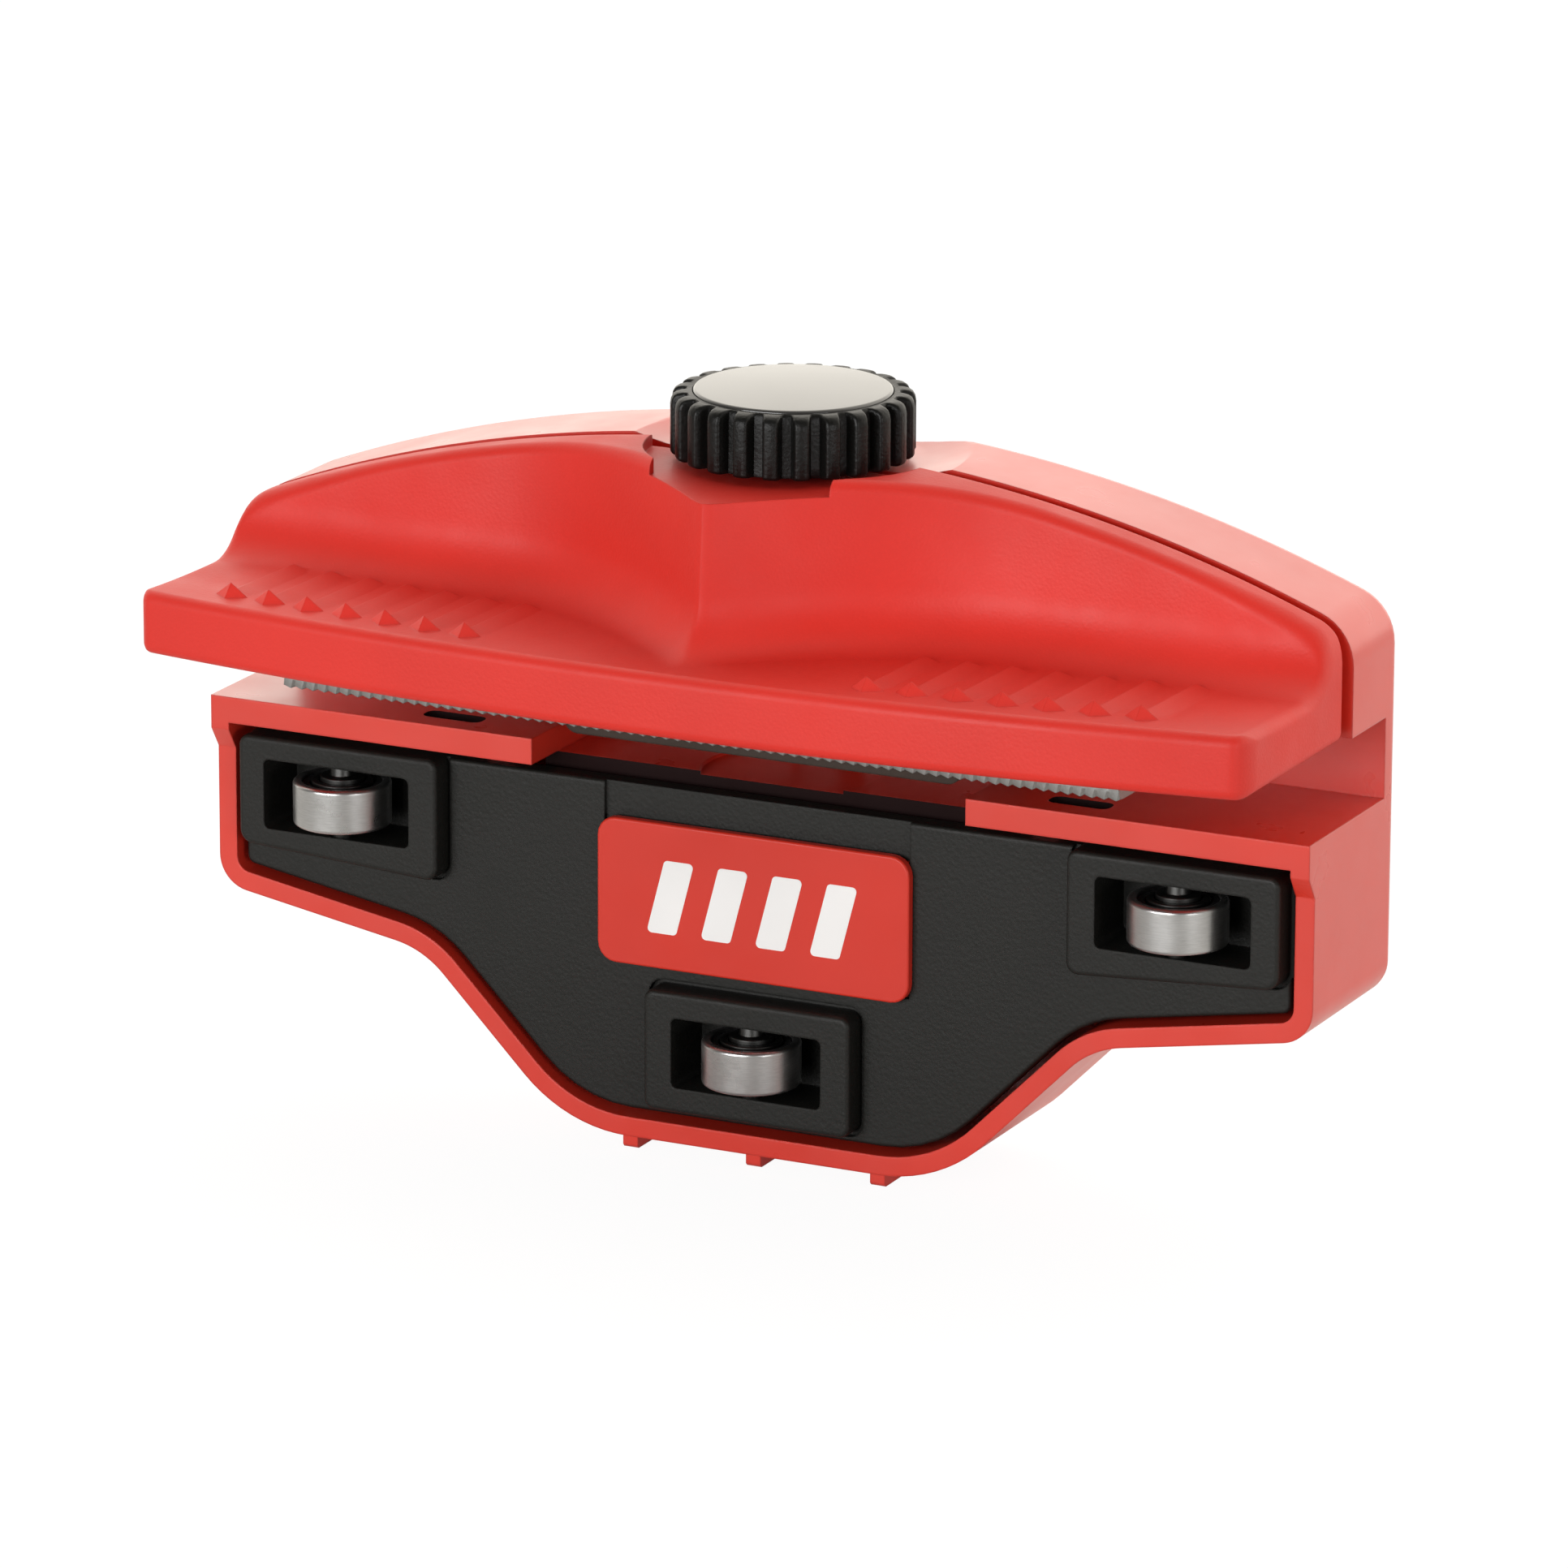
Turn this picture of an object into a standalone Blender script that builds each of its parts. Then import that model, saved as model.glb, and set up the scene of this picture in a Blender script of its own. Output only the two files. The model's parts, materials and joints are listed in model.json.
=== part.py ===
"""Roller-guided side edge tuning tool for skis and snowboards, as an assembly of separate pieces.

World frame: +X runs along the file, +Y towards the back of the tool, +Z up. The origin is the centre of
the footprint: z = 0 is the tip of the feet under the body. Driving dimensions are in millimetres and
the MM factor turns them into Blender's metres.
"""

import math

import bmesh
import bpy
from mathutils import Matrix, Vector

MM = 0.001

# The working frame has y = 0 at the flange fronts; the datum empty moves the footprint centre to the origin.
CENTRE_Y = 1.05

# Overall casting, a C section seen from its end: lower box, rear wall, upper block.
LENGTH = 132.6
BACK = 23.9
REAR_EDGE = 2.0
WALL_BACK_IN = 20.2
RIM_FRONT = 1.6
RIM = 2.2
FLANGE_TOP = 46.0
FLANGE_T = 3.0
ROOF = 55.0
BLOCK_FRONT = 11.0
ARCH_TOP = 80.1
ARCH_RADIUS = 172.0
ARCH_CORNER = 6.0
WING_Z = 23.85
STEP_X, STEP_Z = 40.65, 19.45
TOE_X, TOE_Z = 22.8, 1.45
FOOT_PITCH, FOOT_W = 15.1, 1.8
MOUTH_HALF = 26.2
MOUTH_BACK = 6.3
FLOOR_T = 2.5
SLOT_X, SLOT_Y, SLOT_L, SLOT_W = 37.9, 4.2, 7.2, 2.4

# Grip bolted in front of the upper block.
GRIP_BACK = 9.6
GRIP_HALF = 66.0
GRIP_FRONT = -22.5
GRIP_BOW = 400.0
LEDGE_Z = 61.5
LEDGE_RISE = 0.4
WALL_Y = 5.4
PROW_REACH = 16.4
PROW_HALF = 32.0
SWEEP_R = 6.5
GRIP_CORNER = 5.0
GRIP_PLAN_R = 2.0
RIDGES, RIDGE_FIRST, RIDGE_PITCH = 7, 24.0, 5.05
RIDGE_SHIFT = -1.5
RIDGE_SET_BACK, RIDGE_LENGTH = 3.7, 12.0

# Clamp: knob, screw and jaw share one vertical axis.
SCREW_Y = 11.3
SCREW_R = 2.4
POCKET_R, POCKET_Z = 16.6, 78.0
KNOB_R, KNOB_BOTTOM, KNOB_TOP, KNOB_LOBES = 13.3, 78.8, 86.0, 24
CAP_R = 10.9
SPRING_BORE_R, SPRING_SEAT_Z = 4.7, 66.0
JAW_HALF, JAW_BOTTOM, JAW_LIP_FRONT = 24.0, 46.2, 3.5

# File blade, clamped under the roof.
FILE_LENGTH, FILE_FRONT, FILE_BACK = 100.0, -13.2, 8.0
FILE_BOTTOM, FILE_TOP = 52.0, 54.9

# Roller plate, tilted about a hidden pin to set the edge angle.
PLATE_FRONT, PLATE_BACK, PLATE_TOP = 2.5, 5.0, 41.6
PLATE_GAP = 0.8
PAD_FRONT, PAD_HALF_W, PAD_HALF_H = -0.1, 12.5, 6.9
WINDOW_HALF_W, WINDOW_HALF_H = 9.1, 4.0
HOUSING_BACK = 8.6
ROLLER_X, ROLLER_Y = 50.6, 1.5
SIDE_ROLLER_Z, LOW_ROLLER_Z = 35.4, 12.4
ROLLER_R, ROLLER_W = 5.5, 5.0
PIVOT_Y, PIVOT_Z = 8.5, 38.5
LUG_X = 33.0
LABEL_HALF_W, LABEL_HALF_H, LABEL_Z = 18.9, 8.3, 29.6

# Angle dial, sunk in the rear wall.
DIAL_Z, DIAL_R, CUP_R, CUP_FLOOR = 27.0, 11.0, 13.0, 16.5
TRUNNION_Y = 8.2
ANGLE_SCREW_R = 2.0

GAP = 0.1
COLOURS = {
    "red_body": ((0.78, 0.065, 0.045), 0.34, 0.0),
    "red_grip": ((0.72, 0.045, 0.035), 0.55, 0.0),
    "black_plastic": ((0.022, 0.022, 0.020), 0.62, 0.0),
    "gloss_cap": ((0.10, 0.095, 0.092), 0.12, 0.0),
    "steel": ((0.62, 0.62, 0.61), 0.24, 1.0),
    "dark_steel": ((0.18, 0.18, 0.18), 0.38, 1.0),
    "file_steel": ((0.40, 0.40, 0.39), 0.45, 1.0),
    "brass": ((0.72, 0.52, 0.22), 0.30, 1.0),
    "rubber_seal": ((0.018, 0.018, 0.018), 0.70, 0.0),
    "brown_pad": ((0.060, 0.034, 0.020), 0.75, 0.0),
    "zinc": ((0.50, 0.50, 0.51), 0.42, 1.0),
}


# ---------------------------------------------------------------- scene, materials and placing


def clear_scene():
    for obj in list(bpy.data.objects):
        bpy.data.objects.remove(obj, do_unlink=True)


def new_collection(name):
    made = bpy.data.collections.new(name)
    bpy.context.scene.collection.children.link(made)
    return made


def material(slot):
    found = bpy.data.materials.get(slot)
    if found:
        return found
    colour, roughness, metallic = COLOURS[slot]
    made = bpy.data.materials.new(slot)
    made.use_nodes = True
    shader = made.node_tree.nodes["Principled BSDF"]
    shader.inputs["Base Color"].default_value = (*colour, 1.0)
    shader.inputs["Roughness"].default_value = roughness
    shader.inputs["Metallic"].default_value = metallic
    return made


def mm(*values):
    return Vector([value * MM for value in values])


def keep(obj, slot, parent=None, smooth=True):
    """Files the object under the tool's collection, with its material and its joint empty."""
    for owner in list(obj.users_collection):
        owner.objects.unlink(obj)
    PARTS.objects.link(obj)
    obj.data.materials.clear()
    obj.data.materials.append(material(slot))
    if smooth and obj.type == "MESH":
        obj.data.shade_smooth()
        obj.data.set_sharp_from_angle(angle=math.radians(35))
    if parent:
        place_under(obj, parent)
    return obj


def place_under(obj, parent):
    obj.parent = parent
    obj.matrix_parent_inverse = parent.matrix_world.inverted()


def joint_empty(name, location):
    empty = bpy.data.objects.new(name, None)
    empty.empty_display_size = 5 * MM
    empty.location = location
    PARTS.objects.link(empty)
    bpy.context.view_layer.update()
    return empty


def cutter(obj):
    for owner in list(obj.users_collection):
        owner.objects.unlink(obj)
    CUTTERS.objects.link(obj)
    obj.hide_render = True
    obj.display_type = "WIRE"
    return obj


def boolean(obj, other, operation):
    """Adds a Boolean of another mesh, which becomes a cutter."""
    step = obj.modifiers.new(f"{operation.lower()}_{other.name}", "BOOLEAN")
    step.object = cutter(other)
    step.operation = operation
    step.solver = "EXACT"


def cut(obj, *others):
    for other in others:
        boolean(obj, other, "DIFFERENCE")


def join(obj, *others):
    for other in others:
        boolean(obj, other, "UNION")


# ---------------------------------------------------------------- outlines and primitive shapes


def arc_points(centre, radius, start, end, steps):
    return [
        (centre[0] + radius * math.cos(start + (end - start) * i / steps),
         centre[1] + radius * math.sin(start + (end - start) * i / steps))
        for i in range(steps + 1)
    ]


def rounded(corners, steps=6):
    """Points of a closed outline whose corners (u, v, radius) are filleted with arcs."""
    outline = []
    count = len(corners)
    for i, (u, v, radius) in enumerate(corners):
        here = Vector((u, v))
        before = (Vector(corners[i - 1][:2]) - here).normalized()
        after = (Vector(corners[(i + 1) % count][:2]) - here).normalized()
        turn = before.angle(after)
        if radius <= 0 or turn > math.pi - 1e-3:
            outline.append((u, v))
            continue
        back_off = radius / math.tan(turn / 2)
        centre = here + (before + after).normalized() * radius / math.sin(turn / 2)
        first = here + before * back_off - centre
        last = here + after * back_off - centre
        start = math.atan2(first.y, first.x)
        sweep = (math.atan2(last.y, last.x) - start + math.pi) % (2 * math.pi) - math.pi
        outline += arc_points(centre, radius, start, start + sweep, steps)
    return outline


def inset(corners, distance):
    """The same clockwise outline moved inwards, with its corner radii kept concentric."""
    moved = []
    count = len(corners)
    for i, (u, v, radius) in enumerate(corners):
        here = Vector((u, v))
        before = (here - Vector(corners[i - 1][:2])).normalized()
        after = (Vector(corners[(i + 1) % count][:2]) - here).normalized()
        inward_before = Vector((before.y, -before.x))
        inward_after = Vector((after.y, -after.x))
        bisector = (inward_before + inward_after).normalized()
        shift = distance / bisector.dot(inward_before)
        outer_turn = before.x * after.y - before.y * after.x < 0
        new_radius = max(radius - distance, 0.3) if outer_turn else radius + distance
        moved.append((*(here + bisector * shift), new_radius if radius > 0 else 0))
    return moved


def prism(name, outline, low, high, axis="Y"):
    """A closed outline extruded from low to high along an axis, as a mesh.

    The outline is (x, z) for axis Y, (y, z) for axis X and (x, y) for axis Z.
    """
    curve = bpy.data.curves.new(name, "CURVE")
    curve.dimensions = "2D"
    curve.fill_mode = "BOTH"
    curve.extrude = (high - low) / 2 * MM
    spline = curve.splines.new("POLY")
    spline.points.add(len(outline) - 1)
    for point, (u, v) in zip(spline.points, outline):
        point.co = (u * MM, v * MM, 0, 1)
    spline.use_cyclic_u = True
    turns = {
        "X": Matrix(((0, 0, 1, 0), (1, 0, 0, 0), (0, 1, 0, 0), (0, 0, 0, 1))),
        "Y": Matrix(((1, 0, 0, 0), (0, 0, -1, 0), (0, 1, 0, 0), (0, 0, 0, 1))),
        "Z": Matrix.Identity(4),
    }
    middle = (low + high) / 2
    shift = {"X": mm(middle, 0, 0), "Y": mm(0, middle, 0), "Z": mm(0, 0, middle)}[axis]
    guide = bpy.data.objects.new(name + "_guide", curve)
    guide.matrix_world = Matrix.Translation(shift) @ turns[axis]
    bpy.context.scene.collection.objects.link(guide)
    bpy.context.view_layer.update()
    return curve_to_mesh(guide, name)


def curve_to_mesh(guide, name):
    graph = bpy.context.evaluated_depsgraph_get()
    mesh = bpy.data.meshes.new_from_object(guide.evaluated_get(graph))
    mesh.transform(guide.matrix_world)
    tidy = bmesh.new()
    tidy.from_mesh(mesh)
    bmesh.ops.remove_doubles(tidy, verts=tidy.verts, dist=1e-6)
    bmesh.ops.recalc_face_normals(tidy, faces=tidy.faces)
    tidy.to_mesh(mesh)
    tidy.free()
    mesh.name = name
    made = bpy.data.objects.new(name, mesh)
    bpy.context.scene.collection.objects.link(made)
    bpy.data.objects.remove(guide, do_unlink=True)
    return made


def box(name, low, high, bevel=0.0, segments=2):
    """A box between two corners in millimetres, with its size in the mesh."""
    shape = bmesh.new()
    bmesh.ops.create_cube(shape, size=1.0)
    size = [b - a for a, b in zip(low, high)]
    bmesh.ops.scale(shape, vec=mm(*size), verts=shape.verts)
    mesh = bpy.data.meshes.new(name)
    shape.to_mesh(mesh)
    shape.free()
    made = bpy.data.objects.new(name, mesh)
    made.location = mm(*[(a + b) / 2 for a, b in zip(low, high)])
    bpy.context.scene.collection.objects.link(made)
    if bevel:
        step = made.modifiers.new("rounded_edges", "BEVEL")
        step.width = bevel * MM
        step.segments = segments
    return made


def cylinder(name, radius, low, high, centre, axis="Z", segments=32, top_radius=None):
    """A cylinder or cone from low to high along an axis; centre holds the other two coordinates."""
    shape = bmesh.new()
    bmesh.ops.create_cone(
        shape,
        cap_ends=True,
        segments=segments,
        radius1=radius * MM,
        radius2=(radius if top_radius is None else top_radius) * MM,
        depth=(high - low) * MM,
    )
    middle = (low + high) / 2
    turn, place = {
        "X": (Matrix.Rotation(math.radians(90), 4, "Y"), (middle, *centre)),
        "Y": (Matrix.Rotation(math.radians(-90), 4, "X"), (centre[0], middle, centre[1])),
        "Z": (Matrix.Identity(4), (*centre, middle)),
    }[axis]
    bmesh.ops.transform(shape, matrix=turn, verts=shape.verts)
    mesh = bpy.data.meshes.new(name)
    shape.to_mesh(mesh)
    shape.free()
    made = bpy.data.objects.new(name, mesh)
    made.location = mm(*place)
    bpy.context.scene.collection.objects.link(made)
    return made


def turned(name, profile, centre, axis="Z", segments=40):
    """A closed (radius, height) profile spun about an axis through centre, with a Screw modifier."""
    mesh = bpy.data.meshes.new(name)
    ring = [(radius * MM, 0, height * MM) for radius, height in profile]
    edges = [(i, (i + 1) % len(ring)) for i in range(len(ring))]
    mesh.from_pydata(ring, edges, [])
    made = bpy.data.objects.new(name, mesh)
    made.location = mm(*centre)
    if axis == "Y":
        made.rotation_euler = (math.radians(-90), 0, 0)
    if axis == "X":
        made.rotation_euler = (0, math.radians(90), 0)
    bpy.context.scene.collection.objects.link(made)
    spin = made.modifiers.new("turned", "SCREW")
    spin.steps = segments
    spin.render_steps = segments
    spin.use_merge_vertices = True
    spin.merge_threshold = 1e-6
    spin.use_smooth_shade = True
    return made


def ring_profile(inner, outer, low, high, chamfer=0.0):
    """Closed profile of a ring, run down its outer side and up its bore."""
    if not chamfer:
        return [(outer, high), (outer, low), (inner, low), (inner, high)]
    return [
        (outer - chamfer, high), (outer, high - chamfer), (outer, low + chamfer),
        (outer - chamfer, low), (inner, low), (inner, high),
    ]


def loft(name, rings):
    """A skin through rings of (x, y, z) points, all with the same count, closed at both ends."""
    shape = bmesh.new()
    loops = [[shape.verts.new(mm(*point)) for point in ring] for ring in rings]
    for near, far in zip(loops, loops[1:]):
        for i in range(len(near)):
            j = (i + 1) % len(near)
            shape.faces.new((near[i], near[j], far[j], far[i]))
    shape.faces.new(list(reversed(loops[0])))
    shape.faces.new(loops[-1])
    bmesh.ops.remove_doubles(shape, verts=shape.verts, dist=1e-6)
    bmesh.ops.recalc_face_normals(shape, faces=shape.faces)
    mesh = bpy.data.meshes.new(name)
    shape.to_mesh(mesh)
    shape.free()
    made = bpy.data.objects.new(name, mesh)
    bpy.context.scene.collection.objects.link(made)
    return made


def coil(name, radius, wire, low, high, turns, centre, per_turn=12, axis="Z"):
    """A compression spring, as a swept poly line."""
    curve = bpy.data.curves.new(name, "CURVE")
    curve.dimensions = "3D"
    curve.bevel_depth = wire * MM
    curve.bevel_resolution = 1
    curve.use_fill_caps = True
    spline = curve.splines.new("POLY")
    count = int(turns * per_turn)
    spline.points.add(count)
    for i, point in enumerate(spline.points):
        angle = 2 * math.pi * i / per_turn
        along = low + wire + (high - low - 2 * wire) * i / count
        u, v = radius * math.cos(angle), radius * math.sin(angle)
        place = (u, v, along) if axis == "Z" else (u, along, v)
        point.co = (*(mm(*place)), 1)
    guide = bpy.data.objects.new(name + "_guide", curve)
    guide.location = mm(*centre)
    bpy.context.scene.collection.objects.link(guide)
    bpy.context.view_layer.update()
    return curve_to_mesh(guide, name)


def mirrored(corners):
    """A right-hand half outline, top to bottom, closed with its own mirror image."""
    return corners + [(-u, v, radius) for u, v, radius in reversed(corners)]


# ---------------------------------------------------------------- body casting


def lower_corners(top):
    return mirrored([
        (LENGTH / 2, top, 0),
        (LENGTH / 2, WING_Z, 4.0),
        (STEP_X, STEP_Z, 11.0),
        (TOE_X, TOE_Z, 18.0),
    ])


def arch_z(x, drop=0.0):
    radius = ARCH_RADIUS - drop
    return ARCH_TOP - ARCH_RADIUS + math.sqrt(radius * radius - x * x)


def shoulder(half, corner, drop=0.0):
    """Centre of the arc that joins a straight end to the arch, and how far round that arc runs."""
    x = half - drop - corner
    reach = ARCH_RADIUS - drop - corner
    rise = math.sqrt(reach * reach - x * x)
    return x, ARCH_TOP - ARCH_RADIUS + rise, math.atan2(rise, x)


def body_ring(drop, steps=26):
    """Outline of the whole casting from behind, drawn in by drop: lower box, ends and arched top."""
    low = rounded(inset(lower_corners(ROOF), drop), 8)[1:-1]
    corner = ARCH_CORNER - drop
    x, z, turn = shoulder(LENGTH / 2, corner, drop)
    right = arc_points((x, z), corner, 0, turn, 6)
    limit = (ARCH_RADIUS - drop) * math.cos(turn)
    across = [limit * (1 - 2 * i / steps) for i in range(1, steps)]
    top = [(u, arch_z(u, drop)) for u in across]
    return list(reversed(low)) + right + top + [(-u, v) for u, v in reversed(right)]


def body_shell():
    half = LENGTH / 2
    levels = [(RIM_FRONT, 0.0), (BACK - REAR_EDGE, 0.0)]
    for angle in (math.radians(30), math.radians(60), math.radians(90)):
        levels.append((BACK - REAR_EDGE + REAR_EDGE * math.sin(angle), REAR_EDGE * (1 - math.cos(angle))))
    body = loft("body_shell", [[(x, y, z) for x, z in body_ring(drop)] for y, drop in levels])
    cut(body, box("face_cut", (-80, -5, FLANGE_TOP), (80, BLOCK_FRONT, 90)))
    cut(body, box("throat_cut", (-80, -5, FLANGE_TOP), (80, WALL_BACK_IN, ROOF)))
    gusset = [(0.0, 43.0), (0.0, 42.2), (RIM_FRONT, 40.0), (RIM_FRONT + 1, 40.0), (RIM_FRONT + 1, 43.0)]
    for side, sign in (("left", -1), ("right", 1)):
        ends = sorted((sign * half, sign * (half - RIM)))
        join(body, prism(f"gusset_{side}_add", gusset, *ends, axis="X"))
        strip = sorted((sign * half, sign * MOUTH_HALF))
        low = (strip[0], 0.0, FLANGE_TOP - FLANGE_T)
        join(body, box(f"flange_{side}_add", low, (strip[1], RIM_FRONT + 1, FLANGE_TOP)))
    for i in (-1, 0, 1):
        middle = i * FOOT_PITCH
        foot = box(f"foot_{i + 2}_add", (middle - FOOT_W / 2, 2.0, 0.0), (middle + FOOT_W / 2, BACK - 2.4, 4.0))
        join(body, foot)
    inner = inset(lower_corners(FLANGE_TOP), RIM)
    ceiling = [(u, FLANGE_TOP - FLANGE_T, 0) if v > 40 else (u, v, r) for u, v, r in inner]
    cut(body, prism("cavity_cut", rounded(ceiling, 8), RIM_FRONT - 4, WALL_BACK_IN))
    floor_low = (-MOUTH_HALF - 1.5, MOUTH_BACK, FLANGE_TOP - FLANGE_T - FLOOR_T)
    join(body, box("mouth_floor_add", floor_low, (MOUTH_HALF + 1.5, WALL_BACK_IN + 1, FLANGE_TOP - 1)))
    mouth_low = (-MOUTH_HALF, -2.0, FLANGE_TOP - FLANGE_T)
    cut(body, box("mouth_cut", mouth_low, (MOUTH_HALF, WALL_BACK_IN, FLANGE_TOP + 1)))
    for side, sign in (("left", -1), ("right", 1)):
        middle = sign * SLOT_X
        slot = rounded([
            (middle - SLOT_L / 2, SLOT_Y - SLOT_W / 2, 0.8), (middle - SLOT_L / 2, SLOT_Y + SLOT_W / 2, 0.8),
            (middle + SLOT_L / 2, SLOT_Y + SLOT_W / 2, 0.8), (middle + SLOT_L / 2, SLOT_Y - SLOT_W / 2, 0.8),
        ], 3)
        cut(body, prism(f"slot_{side}_cut", slot, FLANGE_TOP - 4, FLANGE_TOP + 1, axis="Z"))
        lug_low = (sign * LUG_X - 1.5, PIVOT_Y - 2.5, PIVOT_Z - 3.0)
        lug_high = (sign * LUG_X + 1.5, WALL_BACK_IN + 0.5, FLANGE_TOP - 2.5)
        join(body, box(f"pivot_lug_{side}_add", lug_low, lug_high))
        core_low = sorted((sign * 9.0, sign * 46.0))
        core = box(f"core_{side}_cut", (core_low[0], BLOCK_FRONT - 1, 64.5), (core_low[1], 19.5, 70.5))
        cut(body, core)
        ends = sorted((sign * (LUG_X - 3), sign * (LUG_X + 3)))
        cut(body, cylinder(f"pivot_{side}_cut", 1.35, *ends, (PIVOT_Y, PIVOT_Z), "X", 20))
    cup = cylinder("dial_cup_add", CUP_R + 2.0, CUP_FLOOR - 2.6, WALL_BACK_IN + 1, (0, DIAL_Z), "Y", 40)
    join(body, cup)
    cut(body, cylinder("dial_cup_cut", CUP_R, CUP_FLOOR, BACK + 1, (0, DIAL_Z), "Y", 48))
    cut(body, cylinder("dial_bore_cut", ANGLE_SCREW_R + 1.2, 10, CUP_FLOOR + 1, (0, DIAL_Z), "Y", 28))
    cut(body, cylinder("detent_cut", 1.1, CUP_FLOOR - 1.9, CUP_FLOOR + 1, (7.5, DIAL_Z), "Y", 16))
    knob_pocket_and_bore(body)
    for x in GRIP_SCREW_X:
        cut(body, cylinder(f"grip_screw_head_{x:+.0f}_cut", 3.0, BACK - 3.2, BACK + 1, (x, GRIP_SCREW_Z), "Y", 24))
        cut(body, cylinder(f"grip_screw_hole_{x:+.0f}_cut", 1.7, 8, BACK - 2, (x, GRIP_SCREW_Z), "Y", 20))
    return keep(body, "red_body")


GRIP_SCREW_X = (-54.0, -18.0, 18.0, 54.0)
GRIP_SCREW_Z = 59.6


def knob_pocket_and_bore(obj):
    """Seat of the knob and the screw's bore, which the grip and the upper block share."""
    centre = (0, SCREW_Y)
    tag = obj.name
    cut(obj, cylinder(f"{tag}_pocket_cut", POCKET_R, POCKET_Z, ARCH_TOP + 6, centre, "Z", 64))
    cut(obj, cylinder(f"{tag}_bore_cut", SCREW_R + 0.4, ROOF - 1, ARCH_TOP, centre, "Z", 28))
    cut(obj, cylinder(f"{tag}_spring_cut", SPRING_BORE_R, ROOF - 1, SPRING_SEAT_Z, centre, "Z", 32))


# ---------------------------------------------------------------- grip


def smoothstep(value):
    value = min(max(value, 0.0), 1.0)
    return value * value * (3 - 2 * value)


def grip_top(x):
    """Height of the grip's arched top, dropping round the shoulder at each end."""
    centre, level, turn = shoulder(GRIP_HALF, GRIP_CORNER)
    if abs(x) <= ARCH_RADIUS * math.cos(turn):
        return arch_z(x)
    return level + math.sqrt(max(GRIP_CORNER ** 2 - (abs(x) - centre) ** 2, 0))


def grip_wall(x):
    """Depth of the grip's upright face: flat wings that flare into a central prow."""
    return WALL_Y - PROW_REACH * max(0.0, 1 - abs(x) / PROW_HALF) ** 2


def grip_front(x):
    """Depth of the bowed front edge, with its corners rounded in plan."""
    bow = GRIP_FRONT + x * x / (2 * GRIP_BOW)
    past = max(0.0, abs(x) - (GRIP_HALF - GRIP_PLAN_R))
    return bow + GRIP_PLAN_R - math.sqrt(GRIP_PLAN_R ** 2 - past ** 2)


def grip_section(x):
    """Closed (y, z) section of the grip at x, always with the same number of points.

    The upright face is a wall with a sweep of constant radius at its foot. Near the ends the
    shoulder cuts it off lower down, part-way round the sweep.
    """
    top, wall, front = grip_top(x), grip_wall(x), grip_front(x)
    drop = top - LEDGE_Z
    edge = min(1.3 + 0.8 * smoothstep((abs(x) - 44) / 21), 0.45 * drop)
    face = drop - edge
    lean = 0.07 * max(face - SWEEP_R, 0.0)
    foot = wall - lean - SWEEP_R

    def depth(rise):
        if rise < SWEEP_R:
            return foot + math.sqrt(SWEEP_R ** 2 - (SWEEP_R - rise) ** 2)
        return foot + SWEEP_R + 0.07 * (rise - SWEEP_R)

    section = [(GRIP_BACK, ROOF), (GRIP_BACK, top - 0.4), (GRIP_BACK - 0.4, top)]
    for angle in (90, 60, 30):
        rise = face + edge * math.sin(math.radians(angle))
        section.append((depth(rise) + edge * (1 - math.cos(math.radians(angle))), LEDGE_Z + rise))
    for i in range(8, -1, -1):
        rise = face * (1 - math.cos(math.pi / 2 * i / 8))
        section.append((depth(rise), LEDGE_Z + rise))
    lip, heel = 1.3, 1.5
    section += arc_points((front + lip, LEDGE_Z + LEDGE_RISE - lip), lip, math.radians(90), math.radians(180), 3)
    section += arc_points((front + heel, ROOF + heel), heel, math.radians(180), math.radians(270), 3)
    return section


def grip_stations():
    inner = [i * 2.5 for i in range(0, 13)] + [34, 40, 46, 52, 57, 60.5]
    ends = [62.4, 63.6, 64.5, 65.2, 65.7, GRIP_HALF]
    half = inner + ends
    return [-x for x in reversed(half[1:])] + half


def front_grip():
    """A loft of the section along X, with the ridges joined on and the screw holes cut."""
    grip = loft("front_grip", [[(x, y, z) for y, z in grip_section(x)] for x in grip_stations()])
    join(grip, thumb_ridges())
    knob_pocket_and_bore(grip)
    cut(grip, box("prow_deck_cut", (-10.75, -16.0, POCKET_Z), (10.75, SCREW_Y - 4, ARCH_TOP + 3)))
    for x in GRIP_SCREW_X:
        cut(grip, cylinder(f"thread_{x:+.0f}_cut", 1.6, -2, GRIP_BACK + 1, (x, GRIP_SCREW_Z), "Y", 16))
    return keep(grip, "red_grip")


def thumb_ridges():
    """Fourteen sharp-crested ridges, each ending in a small pyramid at the front."""
    shape = bmesh.new()
    base = LEDGE_Z - 1.0
    for sign in (-1, 1):
        for i in range(RIDGES):
            x = RIDGE_SHIFT + sign * (RIDGE_FIRST + i * RIDGE_PITCH)
            tip_y = grip_front(x) + RIDGE_SET_BACK
            crest = LEDGE_Z + 1.5
            add_wedge(shape, x, tip_y, base, crest)
    mesh = bpy.data.meshes.new("thumb_ridges_add")
    bmesh.ops.recalc_face_normals(shape, faces=shape.faces)
    shape.to_mesh(mesh)
    shape.free()
    made = bpy.data.objects.new("thumb_ridges_add", mesh)
    bpy.context.scene.collection.objects.link(made)
    return made


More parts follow.
